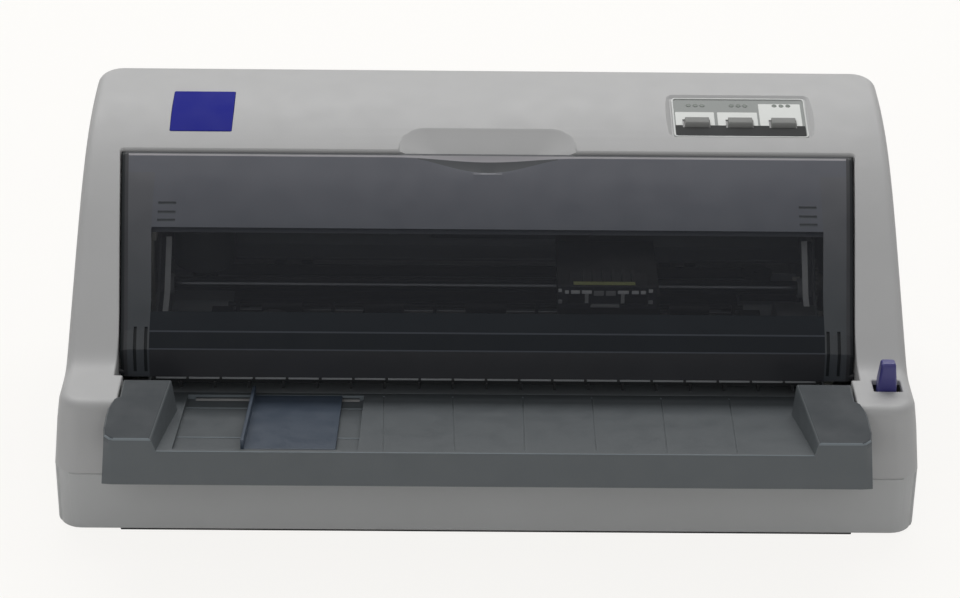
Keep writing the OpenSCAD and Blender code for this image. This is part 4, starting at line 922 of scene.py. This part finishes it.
def tray_finish(normal, place):
    """Which copy of the tray plastic a face has, from how it is turned and where it is: painted
    shade on the block tops, painted light on front-facing and inner faces, painted highlights on
    creases, recess lines and the recess's back wall, and plain grey elsewhere.
    """
    u = place.y - FRONT_Y
    above = place.z - bed_z(u)
    if normal.z > 0.9 and place.z > 75.2:
        return SHADED_LID
    line = normal.z > 0.9 and -2.9 < above < -2.6
    back_wall = normal.y < -0.9 and 58 < u < 60 and above < 0
    if line or back_wall or (normal.y < -0.3 and 0.42 < normal.z < 0.93):
        return HIGHLIGHT_EDGE
    inner_side = abs(normal.x) > 0.6 and normal.x * place.x < 0
    return LIT_FACE if inner_side or normal.y < -0.7 else GREY


def build_tray():
    u = TRAY_FRONT
    profile = [(u, TRAY_LOW + 0.6), (u + 0.2, TRAY_LOW + 0.15), (u + 0.7, TRAY_LOW),
               (6.5, TRAY_LOW), (6.5, 50.8), (-28, 50.8), (-28, bed_z(-28) - BED_T),
               (TRAY_REAR, REAR_Z - BED_T), (TRAY_REAR, REAR_Z - 0.4),
               (TRAY_REAR - 0.4, REAR_Z + 0.05),
               (u + 1.5, bed_z(u + 1.5)), (u + 0.8, bed_z(u + 0.8) - 0.1),
               (u + 0.3, bed_z(u) - 0.5), (u, bed_z(u) - 1.3)]
    tray = prism_x("tray_shell", -174.5, 174.5, profile)
    blocks, hollows = zip(*[end_block(side) for side in (1, -1)])
    tails = [prism_x("tail", *sorted((side * 172.5, side * 197.2)),
                     [(30, 48.6), (56.5, 48.6), (56.5, 52.2), (30, 57.0)]) for side in (1, -1)]
    cut(tray, list(blocks) + tails, "UNION")
    cutters = list(hollows)
    starts = [RECESS_U[0]] + [v + 0.6 for v in RECESS_LINES]
    ends = [v - 0.6 for v in RECESS_LINES] + [RECESS_U[1]]
    for a, b in zip(starts, ends):
        cutters.append(band("recess", *RECESS_X, a, b, -RECESS_DEPTH, 4.0))
    for v in RECESS_LINES:
        cutters.append(band("recess", *RECESS_X, v - 0.7, v + 0.7, 0.25 - RECESS_DEPTH, 4.0))
    cutters.append(band("runner_slot", *RUNNER_SLOT, -9.0, -1.5))
    for front, rear in GROOVES:
        corners = [(front, -27.0), (front + 0.9, -27.0), (rear + 0.9, 58.5), (rear, 58.5)]
        cutters.append(loop_solid("groove", [[(x, v, bed_z(v) + w) for x, v in corners]
                                             for w in (-0.6, 2.0)]))
    cut(tray, cutters)
    dress(tray, TRAY_GREY, TRAY_TOP_SHADE, TRAY_FACE_LIT, TRAY_EDGE_GLINT)
    for poly in tray.data.polygons:
        poly.material_index = tray_finish(poly.normal, poly.center / MM)
    soften(tray, 0.3, 28, crisp=28)
    piece(tray, None, ["front_tray"])


build_tray()


# ---- panel face and keys ----

KEYS = ((-25.0, "key_feed", "button_feed"), (0.0, "key_load", "button_load"),
        (25.0, "key_pause", "button_pause"))
# Side view of a key cap as (along, out, how much its half width shrinks) points.
KEY_PROFILE = [(-11.2, -7.6, -0.3), (-5.0, -7.6, -0.3), (-5.0, 0.2, 0.6), (-5.3, 0.7, 0.8),
               (-6.0, 0.95, 1.0), (-9.6, 0.75, 0.8), (-10.2, 0.4, 0.5), (-10.6, -0.4, 0.2),
               (-11.2, -3.2, 0)]


def panel_pad(name, x0, x1, v0, v1, low, high, corner=0.5, edge=0.1):
    return pad(name, (x1 - x0) / 2, v0, v1, low, high, corner, edge, (x0 + x1) / 2, on_panel)


def lamp_hole(x, v):
    turn = [radians(30 * k) for k in range(12)]
    return loop_solid("lamp_hole", [[(x + 1.5 * cos(a), v + 1.5 * sin(a), w)
                                     for a in turn] for w in (-6, 3)], on_panel)


def panel_holes():
    """Three key wells and three lamp holes over each of them."""
    return ([box_solid("well", (x - 8.3, -11.9, -6), (x + 7.7, -4.4, 3), on_panel)
             for x, body, node in KEYS]
            + [lamp_hole(x + dx, 9.0) for x, body, node in KEYS for dx in (-4, 0, 4)])


def build_panel():
    plate = panel_pad("panel_plate", -38.2, 38.2, -20.6, 15.0, -2.5, -1.9, 2.0, 0.2)
    rim = panel_pad("panel_rim", -38.9, 38.9, -21.0, 15.6, -2.5, -1.35, 2.6, 0.3)
    cut(rim, [panel_pad("rim_inner", -37.9, 37.9, -20.2, 14.7, -4, 2, 1.6)])
    shown = [(plate, LABEL_GREY), (rim, LABEL_RIM)]
    fields = ((-37.2, -14.6, 2.6), (-12.8, 10.4, 2.6), (11.6, 36.0, 10.8))
    shown += [(panel_pad("panel_field_%d" % i, x0, x1, -9.8, v1, -2.1, -1.78), LABEL_WHITE)
              for i, (x0, x1, v1) in enumerate(fields, 1)]
    shown.append((panel_pad("panel_strip", -37.5, 37.5, -20.0, -9.9, -2.1, -1.75), LABEL_DARK))
    for obj, material in shown:
        if obj is not rim:
            cut(obj, panel_holes())
        soften(obj, crisp=30)
        piece(obj, material, ["panel_label"] if obj is plate else [])
    for x, body, node in KEYS:
        cap = loop_solid(body + "_cap", [[(x + side * (7.3 - 0.5 * draw), v, w)
                                          for v, w, draw in KEY_PROFILE] for side in (-1, 1)],
                         on_panel)
        soften(cap, 0.35, 28, 3, crisp=30)
        piece(cap, BUTTON_GREY, [node], body)


build_panel()


# ---- release lever ----

LEVER_X, LEVER_CORNER = 216.4, 1.4
# Height, half width, front and rear of the lever, which clears its slot when it tilts.
LEVER_LOOPS = ((34.5, 4.6, 28.4, 34.6), (60, 5.5, 28.2, 34.5), (76.2, 5.3, 28.1, 34.4),
               (79.0, 5.1, 28.1, 36.4), (88.2, 4.15, 28.4, 35.9), (89.8, 4.0, 28.7, 35.6),
               (90.6, 3.6, 29.2, 35.1), (91.0, 2.8, 30.0, 34.3))


def build_lever():
    loops = []
    for z, half, front, rear in LEVER_LOOPS:
        right = [(LEVER_X + h, u, z) for h, u in outline(half, front, rear, LEVER_CORNER, steps=4)]
        loops.append(right + [(2 * LEVER_X - x, u, z) for x, u, z in reversed(right)])
    obj = loop_solid("lever_tip", loops)
    soften(obj, crisp=40)
    piece(obj, BLUE, ["release_lever"], "lever")


build_lever()


# ---- what shows through the window ----

HEAD_BODY = "carriage_body"


def plate(name, x, u, z, material, slot, bevel=0.3, body="body"):
    """Small block between two places across, along and up."""
    obj = box_solid(name, *zip(x, u, z))
    soften(obj, bevel)
    piece(obj, material, body=body)


def plates(name, places, *finish):
    """Plates at the given (x, u, z) places, numbered from 1."""
    for i, place in enumerate(places, 1):
        plate("%s_%d" % (name, i), *place, *finish)


def build_head():
    """Dark mask of the print head with its pale contacts, legs and feet, and a tag."""
    mask = box_solid("head_mask", (40.4, 117.4, 76.4), (96.4, 120.05, 90.2))
    gaps = (((46, 116, 78.5), (58.5, 121, 85.0)), ((77, 116, 78.5), (92, 121, 85.0)),
            ((60.0, 116, 73), (75.2, 118.2, 84.4)))
    cut(mask, [box_solid("gap", *corners) for corners in gaps])
    soften(mask, 0.4)
    piece(mask, MASK, body=HEAD_BODY)
    nose, side, end = (84.8, 87.8, PALE_PLASTIC), (86.0, 88.0, PIN_WHITE), (87.0, 89.0, PIN_WHITE)
    contacts = [(44.4, 46.6, side), (47.8, 52.9, side), (54.0, 59.7, side), (60.8, 66.5, nose),
                (67.7, 73.3, nose), (74.5, 80.7, side), (82.4, 86.4, side), (87.5, 90.4, side),
                (92.0, 94.4, end), (40.6, 42.6, end)]
    for i, (x0, x1, (low, high, material)) in enumerate(contacts, 1):
        plate("head_contact_%d" % i, (x0, x1), (116.9, 117.6), (low, high), material,
              "head_metal", 0.2, HEAD_BODY)
    plates("contact_leg", [((x, x + 2.1), (116.9, 117.6), (80.0, 86.1)) for x in (55.8, 76.3)],
           PALE_METAL, "head_metal", 0.2, HEAD_BODY)
    feet = (((40.6, 43.0), (79.6, 82.0)), ((92.0, 94.6), (79.6, 82.0)),
            ((59.2, 75.6), (77.2, 79.0)))
    plates("mask_foot", [(x, (116.9, 118.6), z) for x, z in feet], PALE_PLASTIC, "head_metal",
           0.3, HEAD_BODY)
    plate("head_tag", (49.5, 84.6), (122.0, 125.2), (88.9, 89.7), TAG, "label_grey", 0.2,
          HEAD_BODY)


def build_frame_trim():
    """Pale front flange of each side frame, and the bush at each end of the shaft."""
    path = [(96, 74.2), (120, 84), (142, 108)]
    for side, name in ((-1, "left"), (1, "right")):
        flange = prism_x("frame_flange_" + name, *sorted((side * 180.2, side * 183.4)),
                         path + [(u + 0.9, z - 0.9) for u, z in reversed(path)])
        web = prism_x("web", *sorted((side * 183.0, side * 186.2)),
                      [(u + 0.6, z - 0.6) for u, z in path]
                      + [(u + 3.0, z - 2.4) for u, z in reversed(path)])
        dress(flange, PIN_WHITE)
        dress(web, MASK)
        cut(flange, [web], "UNION")
        soften(flange, 0.3, 25)
        piece(flange)
    for side, name in ((-1, "left"), (1, "right")):
        bush = lathe_x("shaft_bush_" + name, [(side * 181.5, 5.2), (side * 182.0, 5.8),
                                              (side * 186.1, 5.8)], 156, 70.3)
        soften(bush, crisp=CRISP)
        piece(bush, PALE_PLASTIC)


def build_mouth():
    """Row of lips on the front edge of the upper paper guide."""
    plate("mouth_bar", (-184, 184), (60.3, 62.0), (60.0, 61.2), MOUTH, "black_plastic", 0.2)
    middles = [-0.5 + 18.35 * (i - 9.5) for i in range(20)]
    plates("mouth_lip", [((x - 8.4, x + 8.4), (60.1, 61.6), (61.1, 62.0)) for x in middles],
           PALE_PLASTIC, "black_plastic", 0.2)


build_head()
build_frame_trim()
# Dark strip under the case's front edge, standing in for the contact shadow under the case: a
# painted shadow.
plate("contact_shadow_rail", (-199, 199), (1.0, 6.5), (0.05, 1.3), RUBBER, "rubber")
build_mouth()


# ---- sockets at the back ----

REAR_FACE = CASE_D - 1.0


def on_rear(x, v, w):
    """Point of the rear face, from places across, up and out of it."""
    return at(x, REAR_FACE + w, v)


PARALLEL_X, USB_X = 71.0, 122.0


def socket_pad(name, x0, half, low, high, back, out, corner, edge=0.1):
    return pad(name, half, low, high, back, out, corner, edge, x0, on_rear)


def socket_block(name, low, high, *recess):
    """Moulded block of a socket, with a recess in its rear face."""
    block = box_solid(name, low, high)
    cut(block, [socket_pad("recess", *recess)])
    soften(block, 0.3)
    piece(block, INNER_BLACK, ["rear_connectors"])


def socket_shell(name, x0, half, low, high, corner, depth):
    """Rolled metal shell of a socket, open at the back."""
    shell = socket_pad(name, x0, half, low, high, -depth, 0.9, corner, 0.25)
    cut(shell, [socket_pad("inner", x0, half - 0.7, low + 0.7, high - 0.7, -depth - 2, 3,
                           corner - 0.7)])
    soften(shell, crisp=40)
    piece(shell, STEEL)


def socket_tongue(*shape, slot, material):
    tongue = socket_pad(*shape, 0.3)
    soften(tongue)
    piece(tongue, material)


def build_sockets():
    socket_block("parallel_block", (36.2, 217.2, 11.8), (105.8, 240.4, 27.3),
                 PARALLEL_X, 31.0, 15.2, 24.0, -9.5, 3, 2.6)
    socket_block("usb_block", (116.2, 221.2, 11.8), (127.8, 240.4, 22.3),
                 USB_X, 4.6, 12.8, 21.4, -8.5, 3, 0.8)
    socket_shell("parallel_shell", PARALLEL_X, 31.4, 14.8, 24.4, 3.0, 9.0)
    socket_shell("usb_shell", USB_X, 5.0, 12.4, 21.8, 1.2, 8.0)
    socket_tongue("parallel_tongue", PARALLEL_X, 26.5, 18.0, 21.2, -9.6, -1.2, 0.6,
                  slot="black_plastic", material=BLACK)
    socket_tongue("usb_tongue", USB_X, 2.8, 15.6, 18.8, -8.6, -1.0, 0.4,
                  slot="white_plastic", material=WHITE)
    pins = [PARALLEL_X + 2.85 * (i - 8.5) for i in range(18)]
    contacts = [box_solid("parallel_contacts", (x - 0.5, 232.0, 17.85), (x + 0.5, 239.4, 21.35))
                for x in pins]
    cut(contacts[0], contacts[1:], "UNION")
    soften(contacts[0], 0.1, segments=1)
    piece(contacts[0], BRASS)
    plates("parallel_latch", [((x - 0.9, x + 0.9), (237.0, 241.8), (14.2, 25.0))
                              for x in (38.2, 103.8)], STEEL, "steel", 0.5)
    mid = sum(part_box("power_inlet"), Vector()) / 2 / MM
    spots = [(mid.x + dx, mid.z + dz) for dx, dz in ((-5.5, -1.2), (0, 2.0), (5.5, -1.2))]
    plates("inlet_pin", [((x - 1, x + 1), (224.0, 237.5), (z - 2.0, z + 2.0)) for x, z in spots],
           STEEL, "steel", 0.4)


build_sockets()


# ---- finishes of the CAD nodes that stay ----

FINISHES = {
    "case_grey": CASE_GREY, "tray_grey": TRAY_GREY, "guide_grey": GUIDE_GREY,
    "smoked_plastic": SMOKE_SIDE, "blue_plastic": BLUE, "badge_blue": BADGE_BLUE,
    "label_grey": LABEL_GREY, "button_grey": BUTTON_GREY, "black_plastic": INNER_BLACK,
    "white_plastic": WHITE, "steel": STEEL, "shaft_steel": SHAFT_STEEL, "motor_metal": MOTOR,
    "head_metal": HEAD, "rubber": RUBBER, "ribbon": RIBBON, "board": BOARD}

for part in frame["record"]["subparts"]:
    dress(nodes[part["node"]], FINISHES[part["material_slot"]])

for name, material in (("feed_knob", BLACK), ("power_switch", BLACK), ("power_inlet", BLACK),
                       ("panel_board", LAMP_BOARD), ("upper_paper_guide", MOUTH),
                       ("lower_paper_guide", MOUTH_LOW_LIT), ("head_cable", CABLE),
                       ("sprocket_left", SPROCKET), ("sprocket_right", SPROCKET),
                       ("rear_pinch_rollers", INNER_BLACK), ("print_head", DULL_METAL),
                       ("idler_pulley", INNER_BLACK)):
    dress(nodes[name], material)

EDGES = {"edge_guide": 0.4, "feed_knob": 0.5, "power_switch": 0.5, "power_inlet": 0.5}
for name, node in nodes.items():
    if not node.hide_render:
        soften(node, EDGES.get(name, 0.15), weld=True)


# ---- camera, floor and light ----

CAMERA_PLACE = (-0.0156, -1.3366, 0.7989)
CAMERA_LENS, SENSOR_WIDTH = 100.72, 36
PITCH, YAW, ROLL = (radians(a) for a in (27.978, -0.499, 0.661))
FLOOR_REACH, BACK_Y, BACK_R, BACK_Z = 15, 1.6, 1, 4
WORLD_LIGHT = 0.38
FLOOR_WHITE = 0.88
# Name, place, aim, size and power of each lamp.
LAMPS = [("rear_top", (0, 1.0, 1.5), (0, 0.0, 0.08), (2.2, 0.9), 20.5),
         ("front", (-0.4, -2.0, 1.5), (0, 0, 0.1), (2.4, 1.2), 9.0)]


def make_camera():
    camera = link_object("camera", bpy.data.cameras.new("camera"))
    scene.camera = camera
    ahead = Vector((-sin(YAW) * cos(PITCH), cos(YAW) * cos(PITCH), -sin(PITCH)))
    across_view = ahead.cross(Vector((0, 0, 1))).normalized()
    over = across_view.cross(ahead)
    right = across_view * cos(ROLL) + over * sin(ROLL)
    turn = Matrix((right, right.cross(ahead), -ahead)).transposed()
    camera.matrix_world = Matrix.Translation(CAMERA_PLACE) @ turn.to_4x4()
    assign(camera.data, {"lens": CAMERA_LENS, "sensor_fit": "HORIZONTAL",
                         "sensor_width": SENSOR_WIDTH})


def make_floor():
    """Pale floor that curves up into a backdrop, white to the camera and in reflections."""
    side = [(-FLOOR_REACH, 0), (BACK_Y, 0)]
    side += [(BACK_Y + BACK_R * sin(a), BACK_R * (1 - cos(a))) for a in quarter_turn(9)[1:]]
    side.append((BACK_Y + BACK_R, BACK_Z))
    n = len(side)
    floor = new_object("floor", [(x, y, z) for x in (-FLOOR_REACH, FLOOR_REACH) for y, z in side],
                       [(i, i + 1, n + i + 1, n + i) for i in range(n - 1)],
                       lambda *p: Vector(p))
    shade_smooth(floor)
    mat, tree = with_nodes(bpy.data.materials.new("floor_paper"))
    add = partial(new_node, tree)
    shader = tree.nodes["Principled BSDF"]
    feed(tree, shader, {"Base Color": (0.9, 0.895, 0.885, 1), "Roughness": 0.9})
    paper = add("Emission", {"Color": (1.0, 0.988, 0.965, 1)})
    seen = add("Math", {0: add("LightPath", out="Is Camera Ray"),
                        1: add("LightPath", out="Is Glossy Ray")}, operation="MAXIMUM")
    share = add("Math", {0: seen, 1: FLOOR_WHITE}, operation="MULTIPLY")
    both = add("MixShader", {0: share, 1: shader.outputs["BSDF"], 2: paper})
    feed(tree, tree.nodes["Material Output"], {"Surface": both})
    dress(floor, mat)


def make_world():
    """Even light from all round, which the camera sees as white."""
    scene.world, tree = with_nodes(bpy.data.worlds.new("studio"))
    seen = new_node(tree, "LightPath", out="Is Camera Ray")
    strength = new_node(tree, "MapRange", {"Value": seen, "To Min": WORLD_LIGHT, "To Max": 1.0})
    feed(tree, tree.nodes["Background"], {"Color": (1, 1, 1, 1), "Strength": strength})


def make_lamps():
    for name, place, aim, size, power in LAMPS:
        lamp = link_object(name, bpy.data.lights.new(name, "AREA"))
        assign(lamp.data, {"shape": "RECTANGLE", "size": size[0], "size_y": size[1],
                           "energy": power})
        turn = (Vector(aim) - Vector(place)).to_track_quat("-Z", "Y")
        assign(lamp, {"location": place, "rotation_mode": "QUATERNION",
                      "rotation_quaternion": turn})


scene.view_settings.view_transform = "Standard"
make_camera()
make_floor()
make_world()
make_lamps()
